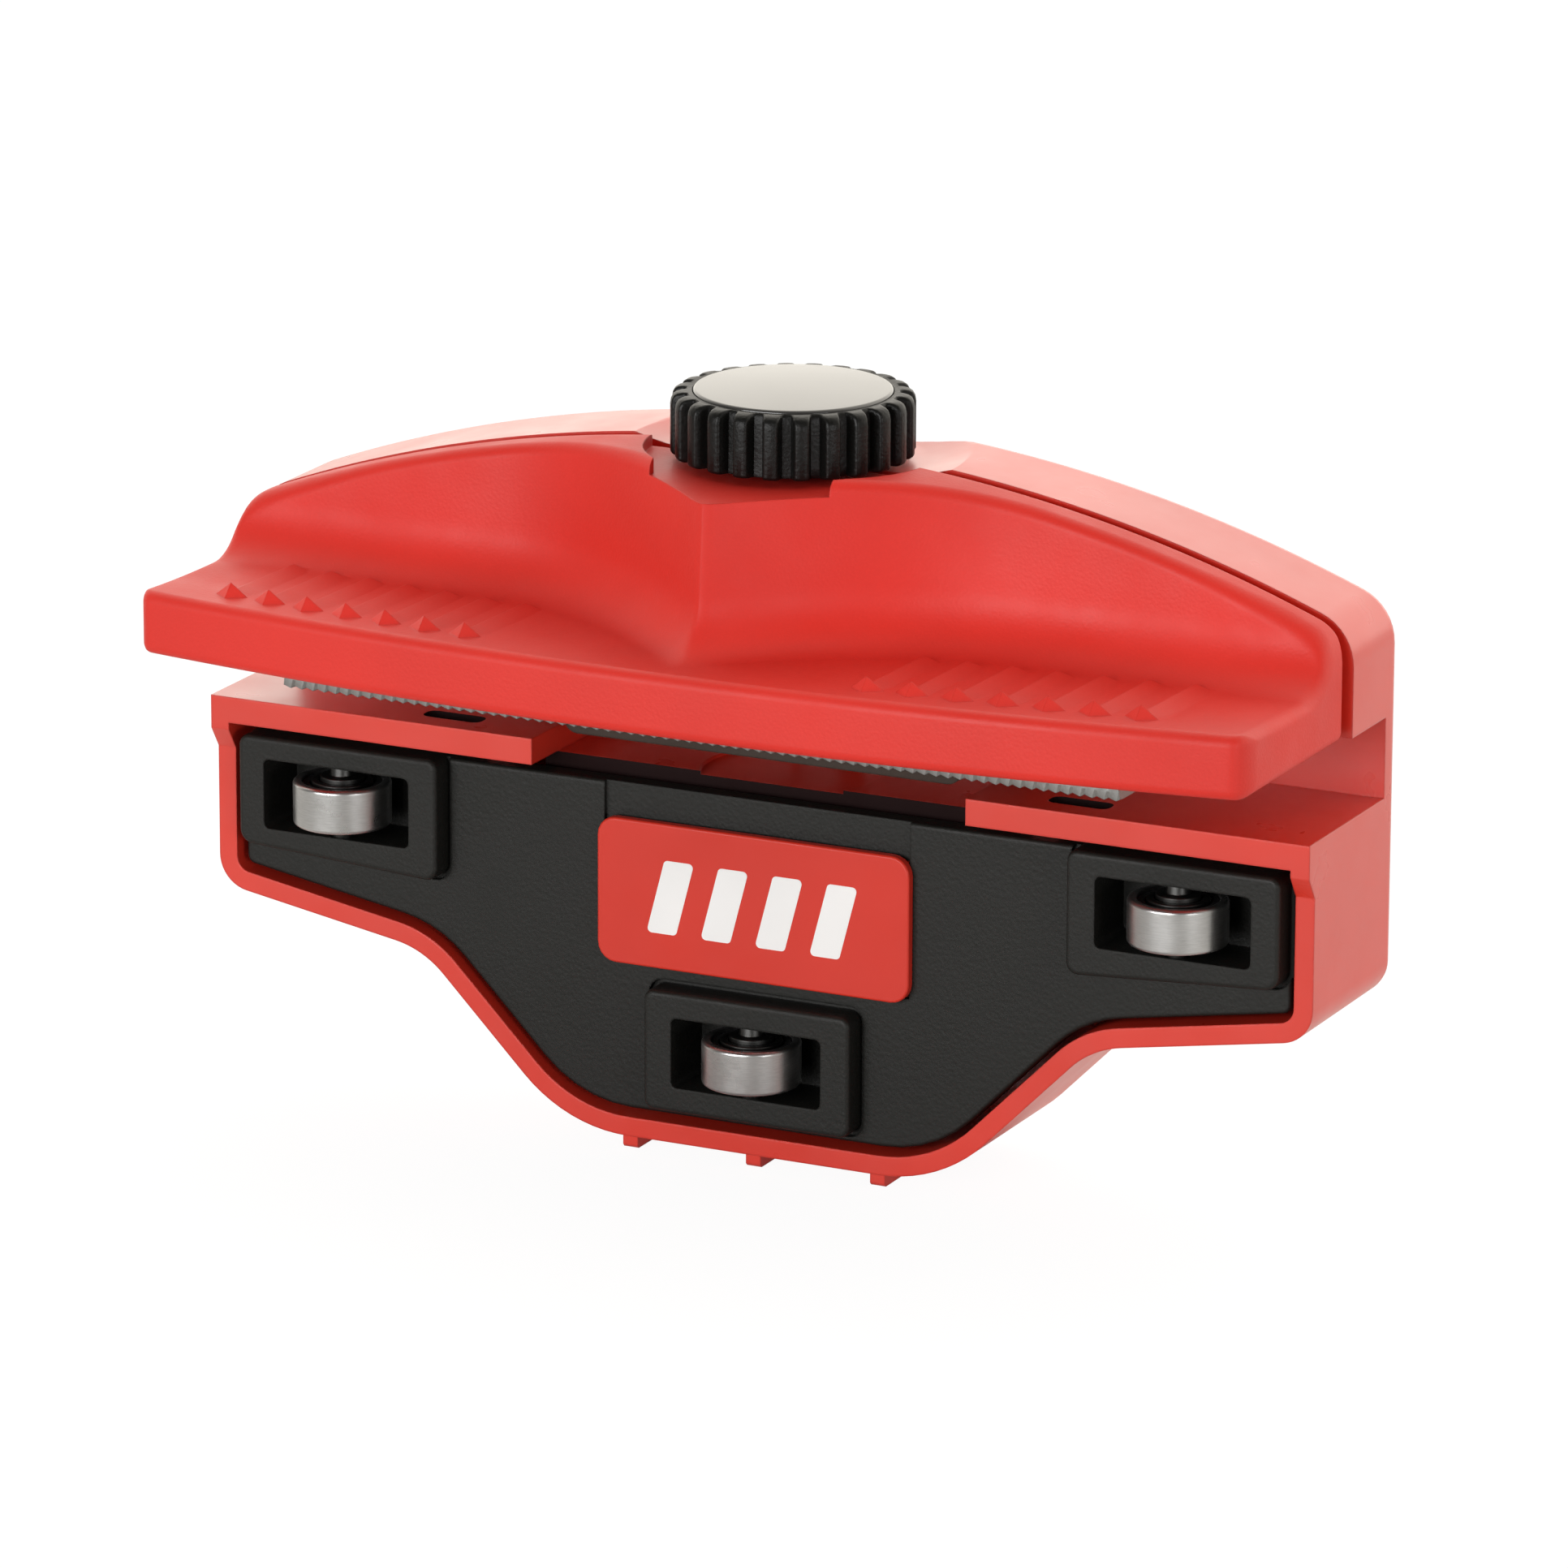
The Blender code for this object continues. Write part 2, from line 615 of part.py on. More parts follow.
def add_wedge(shape, x, tip_y, base, crest):
    """One ridge: a roof whose ridge line sinks into the sweep, and a wider pointed nose."""
    nose, tail = tip_y - 1.9, tip_y + RIDGE_LENGTH
    wide, narrow = 2.1, 1.3
    points = [
        (x, nose, base), (x - wide, tip_y, base), (x - narrow, tip_y + 1.2, base), (x - 0.9, tail, base),
        (x + 0.9, tail, base), (x + narrow, tip_y + 1.2, base), (x + wide, tip_y, base),
        (x, tip_y, crest), (x, tail, crest - 0.5),
    ]
    v = [shape.verts.new(mm(*point)) for point in points]
    for face in ((0, 1, 7), (1, 2, 7), (2, 3, 8, 7), (3, 4, 8), (4, 5, 7, 8), (5, 6, 7), (6, 0, 7)):
        shape.faces.new([v[i] for i in face])
    shape.faces.new([v[i] for i in (6, 5, 4, 3, 2, 1, 0)])


# ---------------------------------------------------------------- screws, knob and clamp


def socket_screw(name, head_r, head_h, shank_r, length, centre, slot, parent=None):
    """A cap screw along Y with its head at the back and a hexagon socket."""
    head_top = centre[1]
    bolt = turned(name, [
        (0, 0), (head_r - 0.3, 0), (head_r, -0.3), (head_r, -head_h), (shank_r, -head_h),
        (shank_r, -length + 0.4), (shank_r - 0.4, -length), (0, -length),
    ], centre, axis="Y", segments=18)
    cut(bolt, cylinder(f"{name}_socket_cut", head_r * 0.52, head_top - head_h * 0.65, head_top + 1,
                       (centre[0], centre[2]), "Y", 6))
    return keep(bolt, slot, parent)


def grip_screws():
    for name, x in zip(("outer_left", "inner_left", "inner_right", "outer_right"), GRIP_SCREW_X):
        socket_screw(f"grip_screw_{name}", 2.75, 2.6, 1.45, 21.0, (x, BACK - 0.4, GRIP_SCREW_Z), "dark_steel")


def knob_outline(radius, lobes, depth, per_lobe=4):
    """Plan of the fluted rim: rounded lobes with narrow valleys between them."""
    points = []
    total = lobes * per_lobe
    for i in range(total):
        angle = 2 * math.pi * i / total
        swing = abs(math.cos(lobes * angle / 2)) ** 0.55
        points.append(((radius - depth * (1 - swing)) * math.cos(angle),
                       (radius - depth * (1 - swing)) * math.sin(angle) + SCREW_Y))
    return points


def knob_group(turn):
    centre = (0, SCREW_Y)
    levels = ((0.0, 0.4), (0.4, 0.0), (5.2, 0.0), (6.3, 0.5), (6.8, 1.5))
    rim = loft("knob", [
        [(x, y, KNOB_BOTTOM + up) for x, y in knob_outline(KNOB_R - back, KNOB_LOBES, 1.2)]
        for up, back in levels
    ])
    cut(rim, cylinder("knob_cap_seat_cut", CAP_R + GAP, KNOB_TOP - 1.3, KNOB_TOP + 1, centre, "Z", 64))
    cut(rim, cylinder("knob_insert_cut", 4.0 + GAP, KNOB_BOTTOM - 1, KNOB_TOP - 2.2, centre, "Z", 6))
    cut(rim, turned("knob_relief_cut", ring_profile(5.5, 11.2, KNOB_BOTTOM - 1, KNOB_TOP - 3.5), (0, SCREW_Y, 0), segments=40))
    keep(rim, "black_plastic", turn)
    cap = turned("knob_cap", [
        (0, KNOB_TOP + 0.25), (5.0, KNOB_TOP + 0.18), (8.5, KNOB_TOP), (CAP_R - 0.25, KNOB_TOP - 0.22),
        (CAP_R, KNOB_TOP - 0.45), (CAP_R, KNOB_TOP - 1.2), (0, KNOB_TOP - 1.2),
    ], (0, SCREW_Y, 0), segments=56)
    keep(cap, "gloss_cap", turn)
    insert = cylinder("knob_insert", 4.0, KNOB_BOTTOM + 0.1, KNOB_TOP - 2.3, centre, "Z", 6)
    cut(insert, cylinder("insert_bore_cut", SCREW_R + GAP, KNOB_BOTTOM - 1, KNOB_TOP - 2.8, centre, "Z", 28))
    keep(insert, "brass", turn, smooth=False)
    screw = turned("clamp_screw", [
        (0, KNOB_TOP - 3.0), (SCREW_R - 0.3, KNOB_TOP - 3.0), (SCREW_R, KNOB_TOP - 3.3),
        (SCREW_R, SPRING_SEAT_Z - 0.3), (SCREW_R - 0.4, SPRING_SEAT_Z - 0.3),
        (SCREW_R - 0.4, SPRING_SEAT_Z - 1.2), (SCREW_R, SPRING_SEAT_Z - 1.2),
        (SCREW_R, JAW_BOTTOM + 0.9), (SCREW_R - 0.5, JAW_BOTTOM + 0.4), (0, JAW_BOTTOM + 0.4),
    ], (0, SCREW_Y, 0), segments=28)
    keep(screw, "steel", turn)
    clip = turned("retaining_clip", ring_profile(SCREW_R - 0.3, 4.2, -0.35, 0.35),
                  (0, SCREW_Y, SPRING_SEAT_Z - 0.75), segments=32)
    cut(clip, box("clip_mouth_cut", (-1.2, SCREW_Y - 6, SPRING_SEAT_Z - 2), (1.2, SCREW_Y - 1, SPRING_SEAT_Z)))
    keep(clip, "dark_steel", turn)


def clamp_fixed_pieces():
    washer = turned("thrust_washer", ring_profile(2.9, 5.2, POCKET_Z + 0.1, KNOB_BOTTOM - 0.1, 0.1),
                    (0, SCREW_Y, 0), segments=36)
    keep(washer, "steel")
    seat = turned("spring_washer", ring_profile(2.8, 4.3, SPRING_SEAT_Z - 1.9, SPRING_SEAT_Z - 1.35),
                  (0, SCREW_Y, 0), segments=32)
    keep(seat, "steel")
    spring = coil("release_spring", 3.5, 0.4, 54.8, SPRING_SEAT_Z - 2.0, 4, (0, SCREW_Y, 0))
    keep(spring, "steel")


def clamp_jaw_group(lift):
    """Carriage behind the file, with a tongue that carries the soft pad under it."""
    back = WALL_BACK_IN - 0.3
    profile = [
        (JAW_LIP_FRONT + 1.2, JAW_BOTTOM + 1.5), (JAW_LIP_FRONT + 1.2, FILE_BOTTOM - 1.1),
        (FILE_BACK + 0.5, FILE_BOTTOM - 1.1), (FILE_BACK + 0.5, ROOF - 0.7),
        (back, ROOF - 0.7), (back, JAW_BOTTOM), (FILE_BACK + 0.5, JAW_BOTTOM),
        (FILE_BACK + 0.5, JAW_BOTTOM + 1.5),
    ]
    jaw = prism("clamp_jaw", profile, -JAW_HALF, JAW_HALF, axis="X")
    centre = (0, SCREW_Y)
    cut(jaw, cylinder("jaw_bore_cut", SCREW_R + 0.3, JAW_BOTTOM - 1, ROOF, centre, "Z", 28))
    nut_low = (-4.1, JAW_BOTTOM + 1.6)
    cut(jaw, box("nut_slot_cut", (nut_low[0], SCREW_Y - 1.9, nut_low[1]), (4.1, back + 1, nut_low[1] + 3.2)))
    keep(jaw, "zinc", lift)
    nut = box("jaw_nut", (-3.9, SCREW_Y - 1.8 - 2.2, nut_low[1] + 0.1), (3.9, SCREW_Y + 4.0, nut_low[1] + 3.1))
    cut(jaw, box("nut_front_cut", (-4.1, SCREW_Y - 4.2, nut_low[1]), (4.1, SCREW_Y, nut_low[1] + 3.2)))
    cut(nut, cylinder("nut_bore_cut", SCREW_R + 0.05, 40, 60, centre, "Z", 28))
    keep(nut, "brass", lift, smooth=False)
    low, high = JAW_BOTTOM, FILE_BOTTOM - 0.1
    pad_outline = rounded([
        (-JAW_HALF, high, 0.4), (JAW_HALF, high, 0.4), (JAW_HALF, low, 1.6), (-JAW_HALF, low, 1.6),
    ], 5)
    pad = prism("jaw_pad", pad_outline, JAW_LIP_FRONT, FILE_BACK + 0.4)
    tongue_low = (-JAW_HALF - 1, JAW_LIP_FRONT + 1.1, JAW_BOTTOM + 1.4)
    cut(pad, box("pad_slot_cut", tongue_low, (JAW_HALF + 1, FILE_BACK + 2, FILE_BOTTOM - 1.0)))
    keep(pad, "brown_pad", lift)


def file_blade(slide):
    half = FILE_LENGTH / 2
    blade = box("file_blade", (-half, FILE_FRONT, FILE_BOTTOM), (half, FILE_BACK, FILE_TOP), bevel=0.25)
    keep(blade, "file_steel", slide, smooth=False)


# ---------------------------------------------------------------- roller plate


def plate_corners():
    edge = inset(lower_corners(FLANGE_TOP), RIM + PLATE_GAP)
    return [(u, PLATE_TOP, 1.0) if v > 40 else (u, v, r) for u, v, r in edge]


def roller_places():
    return (
        ("left", -ROLLER_X, SIDE_ROLLER_Z),
        ("right", ROLLER_X, SIDE_ROLLER_Z),
        ("bottom", 0.0, LOW_ROLLER_Z),
    )


def pad_outline(side, x, z):
    """Pad round a roller: the wing pads' lower edges slope with the body's wing."""
    low, high = z - PAD_HALF_H, z + PAD_HALF_H
    if side == "bottom":
        return [(x - PAD_HALF_W, low, 1), (x - PAD_HALF_W, high, 1), (x + PAD_HALF_W, high, 1), (x + PAD_HALF_W, low, 1)]
    inner, outer = (x + PAD_HALF_W, x - PAD_HALF_W) if side == "left" else (x - PAD_HALF_W, x + PAD_HALF_W)
    high = PLATE_TOP + 0.35
    return [(outer, low + 0.9, 1.5), (outer, high, 1), (inner, high, 1), (inner, low - 0.4, 1)]


def roller_plate(tilt):
    plate = prism("roller_plate", rounded(plate_corners(), 6), PLATE_FRONT, PLATE_BACK)
    for side, x, z in roller_places():
        outline = rounded(pad_outline(side, x, z), 3)
        join(plate, prism(f"pad_{side}_add", outline, PAD_FRONT, HOUSING_BACK))
    for side, sign in (("left", -1), ("right", 1)):
        middle = sign * (LUG_X + 3.3)
        ear = box(f"ear_{side}_add", (middle - 1.4, PLATE_BACK - 1, PIVOT_Z - 2.6), (middle + 1.4, PIVOT_Y + 2.6, PIVOT_Z + 2.6))
        join(plate, ear)
    yoke = box("nut_yoke_add", (-6.5, PLATE_BACK - 1, DIAL_Z - 6), (6.5, 12.4, DIAL_Z + 6))
    join(plate, yoke)
    recess_low = (-18.5, PLATE_FRONT - 3, LABEL_Z - LABEL_HALF_H - 1.4)
    cut(plate, box("label_recess_cut", recess_low, (18.5, PLATE_FRONT + 0.5, PLATE_TOP + 2)))
    for side, x, z in roller_places():
        window = rounded([
            (x - WINDOW_HALF_W, z - WINDOW_HALF_H, 0.6), (x - WINDOW_HALF_W, z + WINDOW_HALF_H, 0.6),
            (x + WINDOW_HALF_W, z + WINDOW_HALF_H, 0.6), (x + WINDOW_HALF_W, z - WINDOW_HALF_H, 0.6),
        ], 2)
        cut(plate, prism(f"window_{side}_cut", window, PAD_FRONT - 1, HOUSING_BACK - 1.0))
        cut(plate, cylinder(f"pin_{side}_cut", PIN_END_R + GAP, z - 5.9, z + 5.9, (x, ROLLER_Y), "Z", 20))
    for side, sign in (("left", -1), ("right", 1)):
        ends = sorted((sign * (LUG_X + 1), sign * (LUG_X + 6)))
        cut(plate, cylinder(f"ear_hole_{side}_cut", 1.35, *ends, (PIVOT_Y, PIVOT_Z), "X", 20))
    cut(plate, cylinder("trunnion_cut", 3.6, -7.5, 7.5, (TRUNNION_Y, DIAL_Z), "X", 32))
    cut(plate, cylinder("angle_screw_way_cut", ANGLE_SCREW_R + 1.0, 4.0, 14, (0, DIAL_Z), "Y", 28))
    return keep(plate, "black_plastic", tilt)


PIN_END_R = 1.35


def rollers(tilt):
    for side, x, z in roller_places():
        spin = joint_empty(f"roller_{side}_axis", mm(x, ROLLER_Y, z))
        place_under(spin, tilt)
        bpy.context.view_layer.update()
        half = ROLLER_W / 2
        centre = (x, ROLLER_Y, z)
        outer = turned(f"roller_ring_{side}", ring_profile(4.5, ROLLER_R, -half, half, 0.35), centre, segments=40)
        keep(outer, "steel", spin)
        for level, low in (("upper", half - 0.75), ("lower", -half + 0.35)):
            seal = turned(f"roller_seal_{level}_{side}", ring_profile(3.6, 4.4, low, low + 0.4), centre, segments=24)
            keep(seal, "rubber_seal", spin)
        inner = turned(f"bearing_inner_{side}", ring_profile(2.6, 3.45, -half, half), centre, segments=24)
        keep(inner, "steel", tilt)
        pin = turned(f"roller_pin_{side}", [
            (0, 5.8), (PIN_END_R, 5.8), (PIN_END_R, half + 0.5), (2.45, half + 0.5),
            (2.45, -half - 0.5), (PIN_END_R, -half - 0.5), (PIN_END_R, -5.8), (0, -5.8),
        ], centre, segments=20)
        keep(pin, "steel", tilt)


def pivot_pins():
    for side, sign in (("left", -1), ("right", 1)):
        ends = sorted((sign * (LUG_X - 2.0), sign * (LUG_X + 5.2)))
        pin = cylinder(f"pivot_pin_{side}", 1.25, *ends, (PIVOT_Y, PIVOT_Z), "X", 20)
        keep(pin, "steel")


def label_plate(tilt):
    low, high = LABEL_Z - LABEL_HALF_H, LABEL_Z + LABEL_HALF_H
    outline = rounded([
        (-LABEL_HALF_W, low, 2.2), (-LABEL_HALF_W, high, 2.2), (LABEL_HALF_W, high, 2.2), (LABEL_HALF_W, low, 2.2),
    ], 6)
    front = PLATE_FRONT - 1.1
    label = prism("label_plate", outline, front, PLATE_FRONT - GAP)
    back = (-18.3, PLATE_FRONT - 0.3, low + 0.6)
    join(label, box("label_key_add", back, (18.3, PLATE_FRONT + 0.4, high - 0.6)))
    keep(label, "red_body", tilt)


# ---------------------------------------------------------------- angle setting


def angle_dial_group(turn):
    centre = (0, DIAL_Z)
    knurl = [(u, v - SCREW_Y + DIAL_Z) for u, v in knob_outline(DIAL_R, 24, 0.7, 4)]
    dial = prism("angle_dial", knurl, CUP_FLOOR + 0.3, BACK - 0.6)
    cut(dial, turned("dial_dish_cut", ring_profile(4.6, 9.0, BACK - 2.4, BACK + 1), (0, 0, DIAL_Z), axis="Y", segments=40))
    grip_bar = box("dial_bar_add", (-1.3, BACK - 3.0, DIAL_Z - 9.4), (1.3, BACK - 0.65, DIAL_Z + 9.4))
    join(dial, grip_bar)
    cut(dial, cylinder("dial_bore_cut_2", ANGLE_SCREW_R + GAP, CUP_FLOOR - 1, BACK - 2.8, centre, "Y", 28))
    cut(dial, cylinder("dial_fixing_cut", 1.15, CUP_FLOOR, BACK + 1, centre, "Y", 20))
    cut(dial, cylinder("dial_head_cut", 2.5, BACK - 2.1, BACK + 1, centre, "Y", 24))
    keep(dial, "black_plastic", turn)
    shaft = turned("angle_screw", [
        (0, BACK - 2.9), (ANGLE_SCREW_R, BACK - 2.9), (ANGLE_SCREW_R, 13.5), (ANGLE_SCREW_R - 0.5, 13.5),
        (ANGLE_SCREW_R - 0.5, 12.6), (ANGLE_SCREW_R, 12.6), (ANGLE_SCREW_R, 6.0),
        (ANGLE_SCREW_R - 0.5, 5.5), (0, 5.5),
    ], (0, 0, DIAL_Z), axis="Y", segments=28)
    cut(shaft, cylinder("shaft_thread_cut", 1.15, 15.0, BACK, centre, "Y", 20))
    keep(shaft, "steel", turn)
    clip = turned("dial_clip", ring_profile(ANGLE_SCREW_R - 0.3, 4.0, -0.35, 0.35), (0, 13.05, DIAL_Z), axis="Y", segments=28)
    cut(clip, box("dial_clip_mouth_cut", (-1.4, 12.0, DIAL_Z - 7), (1.4, 14.0, DIAL_Z - 1)))
    keep(clip, "dark_steel", turn)
    socket_screw("dial_screw", 2.2, 1.4, 0.95, 6.0, (0, BACK - 0.65, DIAL_Z), "dark_steel", turn)


def angle_fixed_pieces(tilt):
    ball = bmesh.new()
    bmesh.ops.create_uvsphere(ball, u_segments=14, v_segments=8, radius=0.8 * MM)
    mesh = bpy.data.meshes.new("detent_ball")
    ball.to_mesh(mesh)
    ball.free()
    made = bpy.data.objects.new("detent_ball", mesh)
    made.location = mm(7.5, CUP_FLOOR - 0.8, DIAL_Z)
    keep(made, "steel")
    trunnion = cylinder("trunnion_nut", 3.45, -6.0, 6.0, (TRUNNION_Y, DIAL_Z), "X", 32)
    cut(trunnion, cylinder("trunnion_bore_cut", ANGLE_SCREW_R + 0.45, 2, 14, (0, DIAL_Z), "Y", 28))
    keep(trunnion, "brass", tilt)


# ---------------------------------------------------------------- assembly


clear_scene()
PARTS = new_collection("edge_tuning_tool")
CUTTERS = new_collection("cutters")

body_shell()
front_grip()
grip_screws()
clamp_fixed_pieces()
pivot_pins()

knob_turn = joint_empty("knob_turn_axis", mm(0, SCREW_Y, KNOB_BOTTOM))
knob_group(knob_turn)
jaw_lift = joint_empty("clamp_jaw_axis", mm(0, SCREW_Y, JAW_BOTTOM))
clamp_jaw_group(jaw_lift)
file_slide = joint_empty("file_slide_axis", mm(0, FILE_FRONT, FILE_BOTTOM))
file_blade(file_slide)
plate_tilt = joint_empty("plate_tilt_axis", mm(0, PIVOT_Y, PIVOT_Z))
roller_plate(plate_tilt)
label_plate(plate_tilt)
rollers(plate_tilt)
dial_turn = joint_empty("angle_dial_axis", mm(0, BACK, DIAL_Z))
angle_dial_group(dial_turn)
angle_fixed_pieces(plate_tilt)

datum = bpy.data.objects.new("datum", None)
datum.location = mm(0, -CENTRE_Y, 0)
PARTS.objects.link(datum)
for group in (PARTS, CUTTERS):
    for obj in list(group.objects):
        if obj.parent is None and obj is not datum:
            obj.parent = datum
bpy.context.view_layer.update()
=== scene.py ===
"""Looks of the ski edge tuning tool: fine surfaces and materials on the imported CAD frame.

Lengths in the shape code are millimetres in the tool's working frame (y = 0 at the flange fronts).
"""

import json
import math

import bmesh
import bpy
from mathutils import Matrix, Vector


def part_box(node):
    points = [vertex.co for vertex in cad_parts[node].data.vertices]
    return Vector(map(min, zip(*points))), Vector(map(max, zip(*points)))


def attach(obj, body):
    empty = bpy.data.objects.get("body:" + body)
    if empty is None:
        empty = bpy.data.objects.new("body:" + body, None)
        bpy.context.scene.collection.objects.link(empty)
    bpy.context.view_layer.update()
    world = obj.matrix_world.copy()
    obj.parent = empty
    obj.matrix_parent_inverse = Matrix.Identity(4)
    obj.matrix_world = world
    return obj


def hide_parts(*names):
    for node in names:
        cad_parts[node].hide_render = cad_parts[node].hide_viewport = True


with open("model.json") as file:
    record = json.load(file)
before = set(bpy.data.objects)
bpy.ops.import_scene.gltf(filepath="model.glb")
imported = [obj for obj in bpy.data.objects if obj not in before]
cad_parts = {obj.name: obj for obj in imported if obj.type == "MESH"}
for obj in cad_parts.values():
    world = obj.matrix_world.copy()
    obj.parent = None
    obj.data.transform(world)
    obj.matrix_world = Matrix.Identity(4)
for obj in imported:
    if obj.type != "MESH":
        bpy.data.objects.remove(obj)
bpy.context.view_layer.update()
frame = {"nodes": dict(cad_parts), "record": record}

MM = 0.001
BACK, REAR_EDGE = 23.9, 2.0
SHIFT_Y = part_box("body_shell")[1].y / MM - BACK

HALF = 66.3
WALL_IN = 20.2
RIM_FRONT, RIM = 1.6, 2.2
FLANGE_TOP, FLANGE_T, ROOF = 46.0, 3.0, 55.0
BLOCK_FRONT = 11.0
ARCH_TOP, ARCH_R, ARCH_CORNER = 80.1, 172.0, 6.0
WING_Z, STEP_X, STEP_Z, TOE_X, TOE_Z = 23.85, 40.65, 19.45, 22.8, 1.45
FOOT_PITCH, FOOT_W = 15.1, 1.8
MOUTH_HALF, MOUTH_BACK = 26.2, 6.3
SLOT_X, SLOT_Y, SLOT_L, SLOT_W = 37.9, 4.2, 7.2, 2.6
GRIP_BACK, GRIP_HALF, GRIP_FRONT = 9.6, 66.0, -22.5
GRIP_CORNER, GRIP_PLAN_R, SWEEP_R = 5.0, 2.0, 6.5
RIDGE_FIRST, RIDGE_PITCH, RIDGE_SHIFT = 24.0, 5.06, -1.5
LEDGE_Z, WALL_Y = 61.6, 5.6
PROW_REACH, PROW_HALF = 16.6, 32.0
SCREW_Y, SCREW_R = 11.3, 2.4
POCKET_R, POCKET_Z = 16.3, 78.0
KNOB_R, KNOB_BOTTOM, KNOB_TOP, LOBES, CAP_R = 13.35, 78.8, 86.0, 24, 10.9
FILE_FRONT, FILE_BACK, FILE_BOTTOM, FILE_TOP = -13.2, 8.0, 52.0, 54.9
PLATE_FRONT, PLATE_BACK, PLATE_TOP, PLATE_GAP = 2.5, 5.0, 41.6, 0.75
PAD_FRONT = -0.1
ROLLER_X, ROLLER_Y, SIDE_Z, LOW_Z = 50.6, 1.5, 35.4, 12.4
PIVOT_Y, PIVOT_Z, LUG_X = 8.5, 38.5, 33.0
DIAL_Z, DIAL_R, CUP_R, CUP_FLOOR = 27.0, 11.0, 13.0, 16.5
LABEL_Z = 29.6
WORLD_FRONT, WORLD_BACK = 0.10, 1.95
FRONT_W, RIGHT_W = 10.5, 2.4
SCREW_X = (-54.0, -18.0, 18.0, 54.0)
SCREW_Z = 59.6
RIDGES_PER_SIDE, RIDGE_SET_BACK = 7, 4.8
DECK_HALF = 10.75
SPRING_BORE_R, BOSS_RING_R = 4.7, 10.0
FILE_LENGTH, TOOTH_PITCH, TOOTH_DEPTH = 100.0, 1.38, 0.36
PAD_HALF_W, PAD_HALF_H, PAD_OUTER = 12.5, 6.9, 12.3
WINDOW_HALF_W, WINDOW_HALF_H = 9.1, 4
LABEL_HALF_W, LABEL_HALF_H = 18.9, 8.3
RING_R, RING_BORE_R, RING_HALF = 5.5, 4.5, 2.5
PIN_END, PIN_R, PIN_HOLE_R, PIVOT_HOLE_R = 5.8, 1.35, 1.45, 1.35
ON_AXIS = 0.0001


# ---------------------------------------------------------------- mesh helpers


def link(name, mesh):
    made = bpy.data.objects.new(name, mesh)
    bpy.context.scene.collection.objects.link(made)
    return made


def from_bmesh(name, shape):
    bmesh.ops.recalc_face_normals(shape, faces=shape.faces)
    mesh = bpy.data.meshes.new(name)
    shape.to_mesh(mesh)
    shape.free()
    return link(name, mesh)


def loft(name, rings, caps=True):
    """A skin through rings of millimetre points that all have the same count."""
    shape = bmesh.new()
    loops = [[shape.verts.new([c * MM for c in point]) for point in ring] for ring in rings]
    for near, far in zip(loops, loops[1:]):
        for i in range(len(near)):
            j = (i + 1) % len(near)
            shape.faces.new((near[i], near[j], far[j], far[i]))
    if caps:
        shape.faces.new(list(reversed(loops[0])))
        shape.faces.new(loops[-1])
    bmesh.ops.remove_doubles(shape, verts=shape.verts, dist=2e-6)
    return from_bmesh(name, shape)


def prism(name, outline, low, high, axis="Y"):
    def place(u, v, w):
        return {"X": (w, u, v), "Y": (u, w, v), "Z": (u, v, w)}[axis]

    return loft(name, [[place(u, v, w) for u, v in outline] for w in (low, high)])


def box(name, low, high):
    outline = [(low[0], low[1]), (high[0], low[1]), (high[0], high[1]), (low[0], high[1])]
    return prism(name, outline, low[2], high[2], "Z")


def spin(name, profile, centre, axis="Z", segments=96):
    """A closed (radius, height) profile turned about the Z or the Y axis."""
    rings = []
    for i in range(segments):
        a = 2 * math.pi * i / segments
        ring = []
        for r, h in profile:
            u, v = r * math.cos(a), r * math.sin(a)
            ring.append({
                "Z": (centre[0] + u, centre[1] + v, centre[2] + h),
                "Y": (centre[0] + u, centre[1] + h, centre[2] + v),
            }[axis])
        rings.append(ring)
    rings.append(rings[0])
    return loft(name, rings, caps=False)


def rod(name, radius, low, high, centre, axis="Z", segments=64):
    outline = [
        (centre[0] + radius * math.cos(2 * math.pi * i / segments),
         centre[1] + radius * math.sin(2 * math.pi * i / segments))
        for i in range(segments)
    ]
    return prism(name, outline, low, high, axis)


def soft_profile(profile, radius, steps=3):
    """Rounds every corner of a closed (radius, height) profile that is off the axis."""
    corners = [(r, h, radius if r > 1e-6 else 0) for r, h in profile]
    return rounded(corners, steps)


def arc(centre, radius, start, end, steps):
    return [
        (centre[0] + radius * math.cos(start + (end - start) * i / steps),
         centre[1] + radius * math.sin(start + (end - start) * i / steps))
        for i in range(steps + 1)
    ]


def rounded(corners, steps=10):
    outline = []
    count = len(corners)
    for i, (u, v, radius) in enumerate(corners):
        here = Vector((u, v))
        to_before = Vector(corners[i - 1][:2]) - here
        to_after = Vector(corners[(i + 1) % count][:2]) - here
        before, after = to_before.normalized(), to_after.normalized()
        turn = before.angle(after)
        if radius <= 0 or turn > math.pi - 1e-3:
            outline.append((u, v))
            continue
        limit = 0.49 * min(to_before.length, to_after.length)
        radius = min(radius, limit * math.tan(turn / 2))
        back_off = radius / math.tan(turn / 2)
        centre = here + (before + after).normalized() * radius / math.sin(turn / 2)
        first = here + before * back_off - centre
        last = here + after * back_off - centre
        start = math.atan2(first.y, first.x)
        sweep = (math.atan2(last.y, last.x) - start + math.pi) % (2 * math.pi) - math.pi
        outline += arc(centre, radius, start, start + sweep, steps)
    return outline


def rectangle(u, v, half_u, half_v, radius):
    return [
        (u - half_u, v - half_v, radius), (u - half_u, v + half_v, radius),
        (u + half_u, v + half_v, radius), (u + half_u, v - half_v, radius),
    ]


def tube(inner, outer, low, high, inner_edge, outer_edge):
    """The (radius, height, rounding) corners of a ring."""
    return [
        (inner, low, inner_edge), (outer, low, outer_edge),
        (outer, high, outer_edge), (inner, high, inner_edge),
    ]


